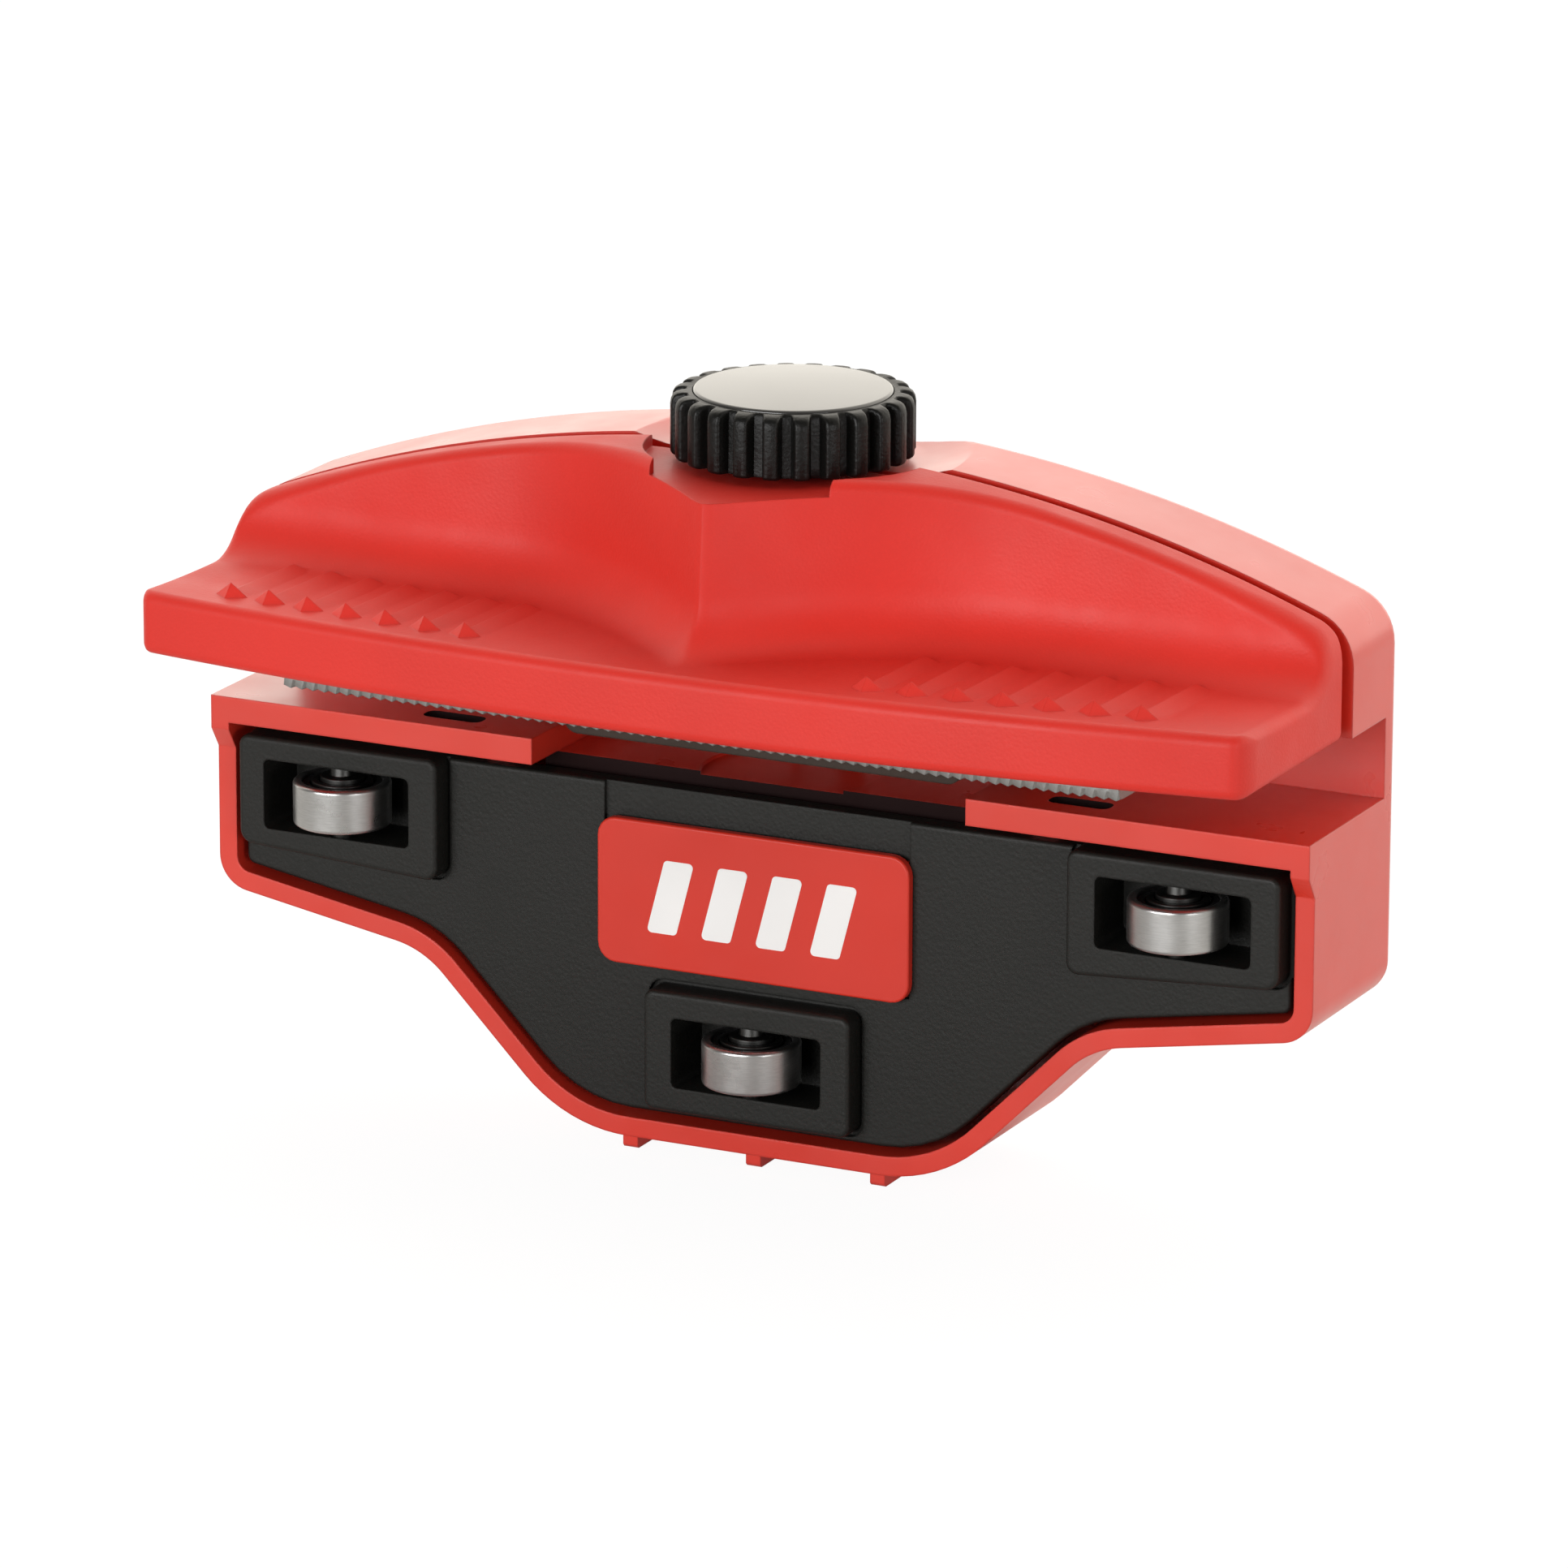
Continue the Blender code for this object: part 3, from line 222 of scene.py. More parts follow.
def rolled_edge(end, edge, angles):
    """(position, inset) pairs of a rounded edge that reaches its full inset at end."""
    turns = [math.radians(a) for a in angles]
    return [(end - edge + edge * math.sin(a), edge * (1 - math.cos(a))) for a in turns]


def inset(corners, distance):
    moved = []
    count = len(corners)
    for i, (u, v, radius) in enumerate(corners):
        here = Vector((u, v))
        before = (here - Vector(corners[i - 1][:2])).normalized()
        after = (Vector(corners[(i + 1) % count][:2]) - here).normalized()
        inward_before = Vector((before.y, -before.x))
        inward_after = Vector((after.y, -after.x))
        bisector = (inward_before + inward_after).normalized()
        shift = distance / bisector.dot(inward_before)
        outer_turn = before.x * after.y - before.y * after.x < 0
        new_radius = max(radius - distance, 0.3) if outer_turn else radius + distance
        moved.append((*(here + bisector * shift), new_radius if radius > 0 else 0))
    return moved


def boolean(obj, other, operation):
    step = obj.modifiers.new(other.name, "BOOLEAN")
    step.object = other
    step.operation = operation
    step.solver = "EXACT"
    obj["tools"] = list(obj.get("tools", [])) + [other.name]


def cut(obj, *others):
    for other in others:
        boolean(obj, other, "DIFFERENCE")


def join(obj, *others):
    for other in others:
        boolean(obj, other, "UNION")


def bake(obj, sharp=40):
    """Applies the modifiers, removes the cutters and leaves one clean smooth-shaded mesh."""
    bpy.context.view_layer.update()
    graph = bpy.context.evaluated_depsgraph_get()
    mesh = bpy.data.meshes.new_from_object(obj.evaluated_get(graph))
    mesh.transform(obj.matrix_world)
    shape = bmesh.new()
    shape.from_mesh(mesh)
    bmesh.ops.remove_doubles(shape, verts=shape.verts, dist=0.004 * MM)
    bmesh.ops.dissolve_degenerate(shape, dist=0.002 * MM, edges=shape.edges)
    shape.to_mesh(mesh)
    shape.free()
    tools = [bpy.data.objects[name] for name in obj.get("tools", [])]
    name = obj.name
    for old in [obj] + tools:
        bpy.data.objects.remove(old, do_unlink=True)
    mesh.shade_smooth()
    mesh.set_sharp_from_angle(angle=math.radians(sharp))
    made = link(name, mesh)
    made.name = name
    made.location = (0, SHIFT_Y * MM, 0)
    bpy.context.view_layer.update()
    normals = made.modifiers.new("normals", "WEIGHTED_NORMAL")
    normals.keep_sharp = True
    normals.weight = 60
    return made


def finish_piece(obj, body, look, slot, *nodes):
    """Gives a baked piece its material and its body, and hides the CAD nodes it stands for."""
    obj.data.materials.clear()
    obj.data.materials.append(look)
    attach(obj, body)
    if nodes:
        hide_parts(*nodes)


# ---------------------------------------------------------------- materials


class Look:
    """A small builder for node materials, so that each recipe below reads as a list of layers."""

    def __init__(self, name, colour, roughness, metallic=0.0, specular=0.5, edge_mm=0.0):
        self.material = bpy.data.materials.new(name)
        self.material.use_nodes = True
        self.tree = self.material.node_tree
        self.shader = self.tree.nodes["Principled BSDF"]
        self.shader.inputs["Base Color"].default_value = (*colour, 1)
        self.shader.inputs["Roughness"].default_value = roughness
        self.shader.inputs["Metallic"].default_value = metallic
        self.shader.inputs["Specular IOR Level"].default_value = specular
        coords = self.add("ShaderNodeTexCoord")
        self.coords = coords.outputs["Object"]
        self.normal = None
        if edge_mm:
            rounding = self.add("ShaderNodeBevel", samples=4)
            rounding.inputs["Radius"].default_value = edge_mm * MM
            self.normal = rounding.outputs["Normal"]
            self.wire(self.normal, self.shader.inputs["Normal"])

    def add(self, kind, **values):
        node = self.tree.nodes.new(kind)
        for key, value in values.items():
            setattr(node, key, value)
        return node

    def wire(self, source, target):
        self.tree.links.new(source, target)

    def mapped(self, scale):
        node = self.add("ShaderNodeMapping")
        node.inputs["Scale"].default_value = scale
        self.wire(self.coords, node.inputs["Vector"])
        return node.outputs["Vector"]

    def noise(self, size_mm, detail=3.0, rough=0.55, stretch=(1, 1, 1), distortion=0.0):
        """Noise whose features are about size_mm across."""
        node = self.add("ShaderNodeTexNoise")
        k = 1000 / size_mm
        self.wire(self.mapped([k * s for s in stretch]), node.inputs["Vector"])
        node.inputs["Scale"].default_value = 1.0
        node.inputs["Detail"].default_value = detail
        node.inputs["Roughness"].default_value = rough
        node.inputs["Distortion"].default_value = distortion
        return node.outputs["Fac"]

    def cells(self, size_mm):
        node = self.add("ShaderNodeTexVoronoi", feature="SMOOTH_F1")
        k = 1000 / size_mm
        self.wire(self.mapped((k, k, k)), node.inputs["Vector"])
        node.inputs["Scale"].default_value = 1.0
        return node.outputs["Distance"]

    def ramp(self, source, low, high, start=0.3, end=0.7):
        node = self.add("ShaderNodeMapRange")
        node.inputs["From Min"].default_value = start
        node.inputs["From Max"].default_value = end
        node.inputs["To Min"].default_value = low
        node.inputs["To Max"].default_value = high
        self.wire(source, node.inputs["Value"])
        return node.outputs["Result"]

    def mix_colour(self, factor, first, second):
        node = self.add("ShaderNodeMix", data_type="RGBA")
        self.wire(factor, node.inputs["Factor"])
        for socket, value in ((node.inputs[6], first), (node.inputs[7], second)):
            if hasattr(value, "is_linked"):
                self.wire(value, socket)
            else:
                socket.default_value = (*value, 1)
        return node.outputs[2]

    def colour(self, socket):
        self.wire(socket, self.shader.inputs["Base Color"])

    def roughness(self, socket):
        self.wire(socket, self.shader.inputs["Roughness"])

    def bump(self, source, depth_mm, strength=1.0):
        node = self.add("ShaderNodeBump")
        node.inputs["Distance"].default_value = depth_mm * MM
        node.inputs["Strength"].default_value = strength
        self.wire(source, node.inputs["Height"])
        if self.normal is not None:
            self.wire(self.normal, node.inputs["Normal"])
        self.normal = node.outputs["Normal"]
        self.wire(self.normal, self.shader.inputs["Normal"])


def shade(colour, factor):
    return tuple(min(1.0, c * factor) for c in colour)


def moulded(
    name, colour, roughness, grain_mm, depth_mm, specular=0.5, speckle=0.0, coat=0.0, edge_mm=0.0
):
    """Injection-moulded plastic: grain, slight colour drift, rubbed patches and tiny specks."""
    look = Look(name, colour, roughness, specular=specular, edge_mm=edge_mm)
    drift = look.ramp(look.noise(26, 2.0), 0.0, 1.0)
    base = look.mix_colour(drift, shade(colour, 0.93), shade(colour, 1.05))
    fine = look.noise(grain_mm, 2.0, 0.6)
    if speckle:
        spots = look.ramp(fine, 0.0, speckle, 0.45, 0.75)
        base = look.mix_colour(spots, base, shade(colour, 1.5))
    look.colour(base)
    rubbed = look.ramp(look.noise(9, 3.0, 0.6), roughness - 0.06, roughness + 0.07)
    look.roughness(rubbed)
    look.bump(look.cells(grain_mm * 1.6), depth_mm)
    look.bump(fine, depth_mm * 0.7)
    look.bump(look.noise(7, 2.0), 0.015, 0.5)
    look.shader.inputs["Coat Weight"].default_value = coat
    look.shader.inputs["Coat Roughness"].default_value = 0.3
    return look.material


def ground_steel(name, colour, roughness, stretch, line_mm=0.5, depth=0.004, spots=0.0):
    """Steel with grinding lines along the short directions of stretch, and faint handling marks."""
    look = Look(name, colour, roughness, metallic=1.0, edge_mm=0.12)
    lines = look.noise(line_mm, 4.0, 0.7, stretch)
    smudge = look.noise(5, 3.0)
    tint = look.mix_colour(look.ramp(lines, 0.0, 1.0), shade(colour, 0.86), shade(colour, 1.1))
    look.colour(look.mix_colour(look.ramp(smudge, 0.0, 0.25), tint, shade(colour, 0.7)))
    look.roughness(look.ramp(smudge, roughness - 0.05, roughness + 0.1))
    look.bump(lines, depth)
    if spots:
        look.bump(look.noise(0.35, 2.0), spots)
    return look.material


RED = (0.69, 0.034, 0.017)
GRIP_RED = moulded(
    "grip_red", (0.70, 0.027, 0.017), 0.50, 0.22, 0.016, 0.40, speckle=0.10, edge_mm=0.25
)
BODY_RED = moulded("body_red", RED, 0.32, 0.5, 0.002, 0.5, coat=0.6, edge_mm=0.35)
LABEL_RED = moulded("label_red", (0.62, 0.030, 0.015), 0.42, 0.3, 0.003, 0.4)
BLACK = moulded(
    "black_plastic_look", (0.010, 0.010, 0.0085), 0.48, 0.26, 0.022, 0.30, speckle=0.4, edge_mm=0.35
)
KNOB_BLACK = moulded("knob_black", (0.004, 0.004, 0.0035), 0.40, 0.24, 0.030, 0.26, speckle=0.6)
CAP_GLOSS = moulded("cap_gloss", (0.042, 0.040, 0.038), 0.12, 0.6, 0.001, 0.7, coat=0.4)
JAW_BLACK = moulded(
    "jaw_grain", (0.034, 0.020, 0.013), 0.62, 0.3, 0.02, 0.35, speckle=0.2, edge_mm=0.3
)
RUBBER = moulded("seal_rubber", (0.015, 0.015, 0.015), 0.6, 0.3, 0.005, 0.3)
# Near-black painted shade for the flange slot insides and the mouth's front lip.
PAINTED_SLOT_SHADE = moulded("painted_slot_shade", (0.012, 0.004, 0.004), 0.7, 0.3, 0.005, 0.1)
WHITE = moulded("print_white", (0.86, 0.86, 0.85), 0.45, 0.3, 0.002, 0.4)
RING_STEEL = ground_steel("ring_steel", (0.58, 0.58, 0.575), 0.28, (0.35, 0.35, 3.0), 0.4, 0.003)
PIN_STEEL = ground_steel("pin_steel", (0.07, 0.07, 0.068), 0.36, (2.0, 2.0, 0.6), 0.4, 0.003)
SCREW_STEEL = ground_steel("screw_steel", (0.15, 0.15, 0.155), 0.36, (1, 1, 1), 0.5, 0.004)
FILE_STEEL = ground_steel(
    "file_steel_look", (0.36, 0.36, 0.35), 0.42, (3.0, 0.7, 1.0), 0.4, 0.01, spots=0.02
)
BRASS = ground_steel("turned_brass", (0.70, 0.50, 0.22), 0.3, (1, 1, 2.5), 0.4, 0.004)
ZINC = ground_steel("cast_zinc", (0.42, 0.42, 0.43), 0.5, (1, 1, 1), 0.6, 0.01, spots=0.02)

SLOT_LOOKS = {
    "red_body": BODY_RED, "red_grip": GRIP_RED, "black_plastic": BLACK, "gloss_cap": CAP_GLOSS,
    "steel": PIN_STEEL, "dark_steel": SCREW_STEEL, "file_steel": FILE_STEEL, "brass": BRASS,
    "rubber_seal": RUBBER, "brown_pad": JAW_BLACK, "zinc": ZINC,
}


# ---------------------------------------------------------------- body casting


def lower_corners(top):
    right = [(HALF, top, 0), (HALF, WING_Z, 4.0), (STEP_X, STEP_Z, 11.0), (TOE_X, TOE_Z, 18.0)]
    return right + [(-u, v, r) for u, v, r in reversed(right)]


def arch_z(x, drop=0.0):
    radius = ARCH_R - drop
    return ARCH_TOP - ARCH_R + math.sqrt(radius * radius - x * x)


def arch_path(half, drop=0.0, corner=ARCH_CORNER, steps=60):
    """Right to left over the top: shoulder arc, arch, shoulder arc."""
    corner = max(corner - drop, 0.6)
    cx = half - drop - corner
    centre_z = ARCH_TOP - ARCH_R
    reach = ARCH_R - drop - corner
    cz = centre_z + math.sqrt(reach * reach - cx * cx)
    tilt = math.atan2(cz - centre_z, cx)
    right = arc((cx, cz), corner, 0, tilt, 8)
    limit = (ARCH_R - drop) * math.cos(tilt)
    top = []
    for i in range(1, steps):
        x = limit * (1 - 2 * i / steps)
        top.append((x, arch_z(x, drop)))
    return right + top + [(-x, z) for x, z in reversed(right)]


def body_ring(drop):
    """Whole outline of the casting seen from behind, drawn in by drop."""
    low = rounded(inset(lower_corners(60.0), drop), 10)
    path = low[1:-1]
    return list(reversed(path)) + arch_path(HALF, drop)


def body_shell():
    levels = [(RIM_FRONT, 0.0), (BACK - REAR_EDGE, 0.0)]
    levels += rolled_edge(BACK, REAR_EDGE, (18, 36, 54, 72, 90))
    body = loft("body_shell_look", [[(x, y, z) for x, z in body_ring(drop)] for y, drop in levels])
    cut(body, box("face_cut", (-80, -5, FLANGE_TOP), (80, BLOCK_FRONT, 90)))
    cut(body, box("throat_cut", (-80, -5, FLANGE_TOP), (80, WALL_IN, ROOF)))
    gusset = [
        (0.0, 44.0), (0.0, 42.2), (RIM_FRONT + 0.1, 39.6),
        (RIM_FRONT + 1, 39.6), (RIM_FRONT + 1, 44.0),
    ]
    for sign in (-1, 1):
        ends = sorted((sign * HALF, sign * (HALF - RIM)))
        join(body, prism(f"gusset{sign}", gusset, *ends, "X"))
        strip = sorted((sign * HALF, sign * MOUTH_HALF))
        low = (strip[0], 0.0, FLANGE_TOP - FLANGE_T)
        join(body, box(f"flange{sign}", low, (strip[1], RIM_FRONT + 1, FLANGE_TOP)))
    for i in (-1, 0, 1):
        x = i * FOOT_PITCH
        foot = [
            (2.0, 4.0), (2.0, 0.3), (2.3, 0.0),
            (BACK - 2.6, 0.0), (BACK - 1.6, 1.0), (BACK - 1.6, 4.0),
        ]
        join(body, prism(f"foot{i}", foot, x - FOOT_W / 2, x + FOOT_W / 2, "X"))
    inner = inset(lower_corners(FLANGE_TOP), RIM)
    ceiling = [(u, FLANGE_TOP - FLANGE_T, 0) if v > 40 else (u, v, r) for u, v, r in inner]
    cut(body, prism("cavity_cut", rounded(ceiling, 10), RIM_FRONT - 4, WALL_IN))
    cut(body, box("top_trim", (-80, -5, FLANGE_TOP - 0.02), (80, WALL_IN, FLANGE_TOP + 3)))
    floor_top = FLANGE_TOP - FLANGE_T
    floor_high = (MOUTH_HALF + 1.5, WALL_IN + 1, FLANGE_TOP - 1)
    join(body, box("mouth_floor", (-MOUTH_HALF - 1.5, MOUTH_BACK, 40.5), floor_high))
    mouth_high = (MOUTH_HALF, WALL_IN, FLANGE_TOP + 1)
    cut(body, box("mouth_cut", (-MOUTH_HALF, -2.0, floor_top), mouth_high))
    cut(body, rod("boss_ring", BOSS_RING_R, floor_top - 0.4, 47.0, (0, SCREW_Y), "Z", 96))
    for sign in (-1, 1):
        slot = rounded(rectangle(sign * SLOT_X, SLOT_Y, SLOT_L / 2, SLOT_W / 2, 1.0), 6)
        cut(body, prism(f"slot{sign}", slot, 41, FLANGE_TOP + 1, "Z"))
        low = (sign * LUG_X - 1.5, PIVOT_Y - 2.5, PIVOT_Z - 3.0)
        join(body, box(f"lug{sign}", low, (sign * LUG_X + 1.5, WALL_IN + 0.5, FLANGE_TOP - 2.5)))
        core = sorted((sign * 9.0, sign * 46.0))
        cut(body, box(f"core{sign}", (core[0], BLOCK_FRONT - 1, 64.5), (core[1], 19.5, 70.5)))
        ends = sorted((sign * (LUG_X - 3), sign * (LUG_X + 3)))
        cut(body, rod(f"pivot_hole{sign}", PIVOT_HOLE_R, *ends, (PIVOT_Y, PIVOT_Z), "X", 28))
    join(body, rod("cup_add", CUP_R + 2.0, CUP_FLOOR - 2.6, WALL_IN + 1, (0, DIAL_Z), "Y", 64))
    cut(body, rod("cup_cut", CUP_R, CUP_FLOOR, BACK + 1, (0, DIAL_Z), "Y", 96))
    cut(body, rod("dial_bore", 3.2, 10, CUP_FLOOR + 1, (0, DIAL_Z), "Y", 32))
    clamp_bores(body, True)
    for x in SCREW_X:
        cut(body, rod(f"head_hole{x}", 3.0, BACK - 3.2, BACK + 1, (x, SCREW_Z), "Y", 48))
        cut(body, rod(f"screw_hole{x}", 1.7, 8, BACK - 2, (x, SCREW_Z), "Y", 24))
    done = bake(body, sharp=30)
    finish_piece(done, "frame", BODY_RED, "red_body", "body_shell")
    paint_slot_shade(done.data)


def paint_slot_shade(mesh):
    """Painted shade: the insides of the two flange slots and the mouth's front lip, which lie in
    deep shadow, take a near-black material.
    """
    mesh.materials.append(PAINTED_SLOT_SHADE)
    for face in mesh.polygons:
        x, y, z = (c / MM for c in face.center)
        along = abs(abs(x) - SLOT_X) < SLOT_L / 2 + 0.05
        inside = along and abs(y - SLOT_Y) < SLOT_W / 2 + 0.05
        at_lip = abs(x) < MOUTH_HALF + 1.6 and abs(y - MOUTH_BACK) < 0.05
        lip = at_lip and z < FLANGE_TOP - FLANGE_T
        # These faces get the near-black painted shade material.
        if lip or (inside and 42.5 < z < FLANGE_TOP - 0.2):
            face.material_index = 1


def clamp_bores(obj, soft):
    """Knob pocket, screw bore and spring bore; a soft pocket is a dish that runs out gently."""
    tag = obj.name
    centre = (0, SCREW_Y)
    if soft:
        dish = [
            (ON_AXIS, POCKET_Z), (14.2, POCKET_Z), (15.2, POCKET_Z + 0.08),
            (17.0, POCKET_Z + 0.45), (19.0, POCKET_Z + 1.0), (21.5, POCKET_Z + 1.6),
            (21.5, ARCH_TOP + 6), (ON_AXIS, ARCH_TOP + 6),
        ]
        cut(obj, spin(f"{tag}_pocket", dish, (0, SCREW_Y, 0), segments=128))
    else:
        cut(obj, rod(f"{tag}_pocket", POCKET_R, POCKET_Z, ARCH_TOP + 6, centre, "Z", 128))
    cut(obj, rod(f"{tag}_bore", SCREW_R + 0.4, ROOF - 1, ARCH_TOP, centre, "Z", 32))
    cut(obj, rod(f"{tag}_spring", SPRING_BORE_R, ROOF - 1, 66.0, centre, "Z", 40))


# ---------------------------------------------------------------- grip


def smoothstep(value):
    value = min(max(value, 0.0), 1.0)
    return value * value * (3 - 2 * value)


def grip_top(x):
    centre = GRIP_HALF - GRIP_CORNER
    reach = ARCH_R - GRIP_CORNER
    level = ARCH_TOP - ARCH_R + math.sqrt(reach * reach - centre * centre)
    if abs(x) <= centre * ARCH_R / reach:
        return arch_z(x)
    return level + math.sqrt(max(GRIP_CORNER ** 2 - (abs(x) - centre) ** 2, 0))


def grip_wall(x):
    ax = math.sqrt(x * x + 0.5) - 0.35
    return WALL_Y - PROW_REACH * max(0.0, 1 - ax / PROW_HALF) ** 2


def grip_front(x):
    bow = GRIP_FRONT + x * x / 800.0
    past = max(0.0, abs(x) - (GRIP_HALF - GRIP_PLAN_R))
    return bow + GRIP_PLAN_R - math.sqrt(max(GRIP_PLAN_R ** 2 - past ** 2, 0.0))


def grip_section(x, shrink=0.0):
    """Closed (y, z) section, back bottom first, running over the top and out along the ledge."""
    top, wall, front = grip_top(x) - shrink, grip_wall(x) + shrink, grip_front(x) + shrink
    ledge = LEDGE_Z - shrink
    drop = top - ledge
    edge = min(1.35 + 0.8 * smoothstep((abs(x) - 44) / 21), 0.45 * drop)
    face = drop - edge
    lean = 0.07 * max(face - SWEEP_R, 0.0)
    foot_y = wall - lean - SWEEP_R

    def depth(rise):
        if rise < SWEEP_R:
            return foot_y + math.sqrt(SWEEP_R ** 2 - (SWEEP_R - rise) ** 2)
        return foot_y + SWEEP_R + 0.07 * (rise - SWEEP_R)

    back = GRIP_BACK - shrink
    section = [(back, ROOF + 0.35 + shrink), (back, (ROOF + top) / 2)]
    section += arc((back - 0.4, top - 0.4), 0.4, 0, math.pi / 2, 3)
    brow = depth(drop) + edge
    section += [(brow + (back - 0.4 - brow) * t, top) for t in (0.75, 0.5, 0.25)]
    for i in range(10, 0, -1):
        a = math.radians(9 * i)
        y = depth(face + edge * math.sin(a)) + edge * (1 - math.cos(a))
        section.append((y, ledge + face + edge * math.sin(a)))
    for i in range(20, -1, -1):
        rise = face * (1 - math.cos(math.pi / 2 * i / 20))
        section.append((depth(rise), ledge + rise))
    lip, heel = 1.25 - shrink * 0.6, 1.2 - shrink * 0.6
    rise = 0.45
    reach = front + lip
    for t in (0.2, 0.4, 0.6, 0.8):
        section.append((foot_y + (reach - foot_y) * t, ledge + rise * t * t))
    section += arc((reach, ledge + rise - lip), lip, math.pi / 2, math.pi, 8)
    section += [(front, (ledge + rise - lip + ROOF + heel + shrink) / 2)]
    section += arc((front + heel, ROOF + heel + shrink), heel, math.pi, 1.5 * math.pi, 7)
    base_run = back - front - heel - 0.4
    section += [(front + heel + base_run * t, ROOF + shrink) for t in (0.3, 0.6, 1.0)]
    return section


def grip_stations():
    """(x, inset) of each section, close together at the prow and at the rounded ends."""
    half = [i * 0.6 for i in range(0, 20)] + [12 + i * 1.25 for i in range(0, 17)]
    half += [33.5 + i * 2.0 for i in range(0, 13)]
    edge = 1.3
    x = 58.5
    while x < GRIP_HALF - edge - 0.15:
        half.append(x)
        x += max(0.25, (GRIP_HALF - x) * 0.16)
    inner = [(-v, 0.0) for v in reversed(half[1:])] + [(v, 0.0) for v in half]
    ends = rolled_edge(GRIP_HALF, edge, (0, 15, 30, 45, 60, 75, 90))
    return [(-v, s) for v, s in reversed(ends)] + inner + ends


def ridge_places():
    """(side, number, x, y) of the front tip of each thumb ridge."""
    for sign in (-1, 1):
        for i in range(RIDGES_PER_SIDE):
            x = RIDGE_SHIFT + sign * (RIDGE_FIRST + RIDGE_PITCH * i)
            yield sign, i, x, grip_front(x) + RIDGE_SET_BACK


def ridge_mesh():
    """Saw-tooth ridges, steep on the left and sloping on the right, each behind a pyramid."""
    shape = bmesh.new()
    base = LEDGE_Z - 1.2
    crest = LEDGE_Z + 1.8
    for _, _, x, tip in ridge_places():
        corners = [(x, tip - 3.0), (x - 3.9, tip + 0.4), (x, tip + 2.6), (x + 3.9, tip + 0.4)]
        low = [shape.verts.new((px * MM, py * MM, base * MM)) for px, py in corners]
        peak = shape.verts.new((x * MM, tip * MM, crest * MM))
        for k in range(4):
            shape.faces.new((low[k], low[(k + 1) % 4], peak))
        shape.faces.new(list(reversed(low)))
    pieces = [from_bmesh("pyramids_add", shape)]
    for sign, i, x, tip in ridge_places():
        rings = []
        for reach, rise in ((0.25, 0.90), (1.2, 0.80), (14.2, 0.50)):
            top = LEDGE_Z + rise
            rings.append([
                (x - 0.35, tip + reach, base), (x - 0.12, tip + reach, top),
                (x + 0.10, tip + reach, top), (x + 2.4, tip + reach, LEDGE_Z - 0.12),
                (x + 2.4, tip + reach, base),
            ])
        pieces.append(loft(f"ridge{sign}_{i}", rings))
    return pieces


def front_grip():
    rings = [[(x, y, z) for y, z in grip_section(x, drop)] for x, drop in grip_stations()]
    grip = loft("front_grip_look", rings)
    join(grip, *ridge_mesh())
    clamp_bores(grip, False)
    deck = [
        (-DECK_HALF, -22, 1.2), (-DECK_HALF, SCREW_Y - 4, 0),
        (DECK_HALF, SCREW_Y - 4, 0), (DECK_HALF, -22, 1.2),
    ]
    cut(grip, prism("deck_cut", rounded(deck, 4), POCKET_Z, ARCH_TOP + 3, "Z"))
    for x in SCREW_X:
        cut(grip, rod(f"thread{x}", 1.6, -2, GRIP_BACK + 1, (x, SCREW_Z), "Y", 20))
    done = bake(grip, sharp=34)
    finish_piece(done, "frame", GRIP_RED, "red_grip", "front_grip")


# ---------------------------------------------------------------- knob and file


def lobe_ring(
    z, pull, depth, radius=KNOB_R, lobes=LOBES, per_lobe=20, centre=(0, SCREW_Y), plane="Z"
):
    """Round posts with flat-bottomed grooves between them."""
    ring = []
    for i in range(lobes * per_lobe):
        a = 2 * math.pi * i / (lobes * per_lobe)
        post = smoothstep((math.cos(lobes * a) + 0.62) / 0.9)
        crown = 0.12 * (1 - math.cos(lobes * a)) if post >= 1 else 0.0
        r = radius - pull - crown - depth * (1 - post)
        u, v = centre[0] + r * math.cos(a), centre[1] + r * math.sin(a)
        ring.append((u, v, z) if plane == "Z" else (u, z, v))
    return ring


def knob():
    levels = [
        (0.0, 0.35, 1.1), (0.15, 0.12, 1.3), (0.4, 0.0, 1.45), (3.0, 0.0, 1.5), (5.6, 0.0, 1.5),
        (6.2, 0.10, 1.45), (6.6, 0.32, 1.3), (6.82, 0.65, 1.05), (6.93, 1.1, 0.7),
        (6.97, 1.6, 0.25), (6.9, 2.05, 0.0),
    ]
    rings = [lobe_ring(KNOB_BOTTOM + up, pull, depth) for up, pull, depth in levels]
    rim = loft("knob_look", rings)
    cut(rim, rod("cap_seat", CAP_R + 0.08, KNOB_TOP - 1.3, KNOB_TOP + 1, (0, SCREW_Y), "Z", 128))
    relief = [(5.5, -1), (11.2, -1), (11.2, 3.7), (5.5, 3.7)]
    cut(rim, spin("relief", relief, (0, SCREW_Y, KNOB_BOTTOM)))
    cut(rim, rod("insert_seat", 4.1, KNOB_BOTTOM - 1, KNOB_TOP - 2.2, (0, SCREW_Y), "Z", 6))
    done = bake(rim, sharp=50)
    finish_piece(done, "clamp_knob", KNOB_BLACK, "black_plastic", "knob")
    dome = [(ON_AXIS, KNOB_TOP - 1.2), (CAP_R, KNOB_TOP - 1.2), (CAP_R, KNOB_TOP - 0.35)]
    dome += arc((CAP_R - 0.35, KNOB_TOP - 0.35), 0.35, math.radians(20), math.radians(85), 5)
    radii = (9.4, 8, 6.5, 5, 3.5, 2, 1, ON_AXIS)
    dome += [(r, KNOB_TOP + 0.24 - 0.24 * (r / (CAP_R - 0.4)) ** 2) for r in radii]
    cap = spin("knob_cap_look", dome, (0, SCREW_Y, 0), segments=128)
    finish_piece(bake(cap, sharp=60), "clamp_knob", CAP_GLOSS, "gloss_cap", "knob_cap")


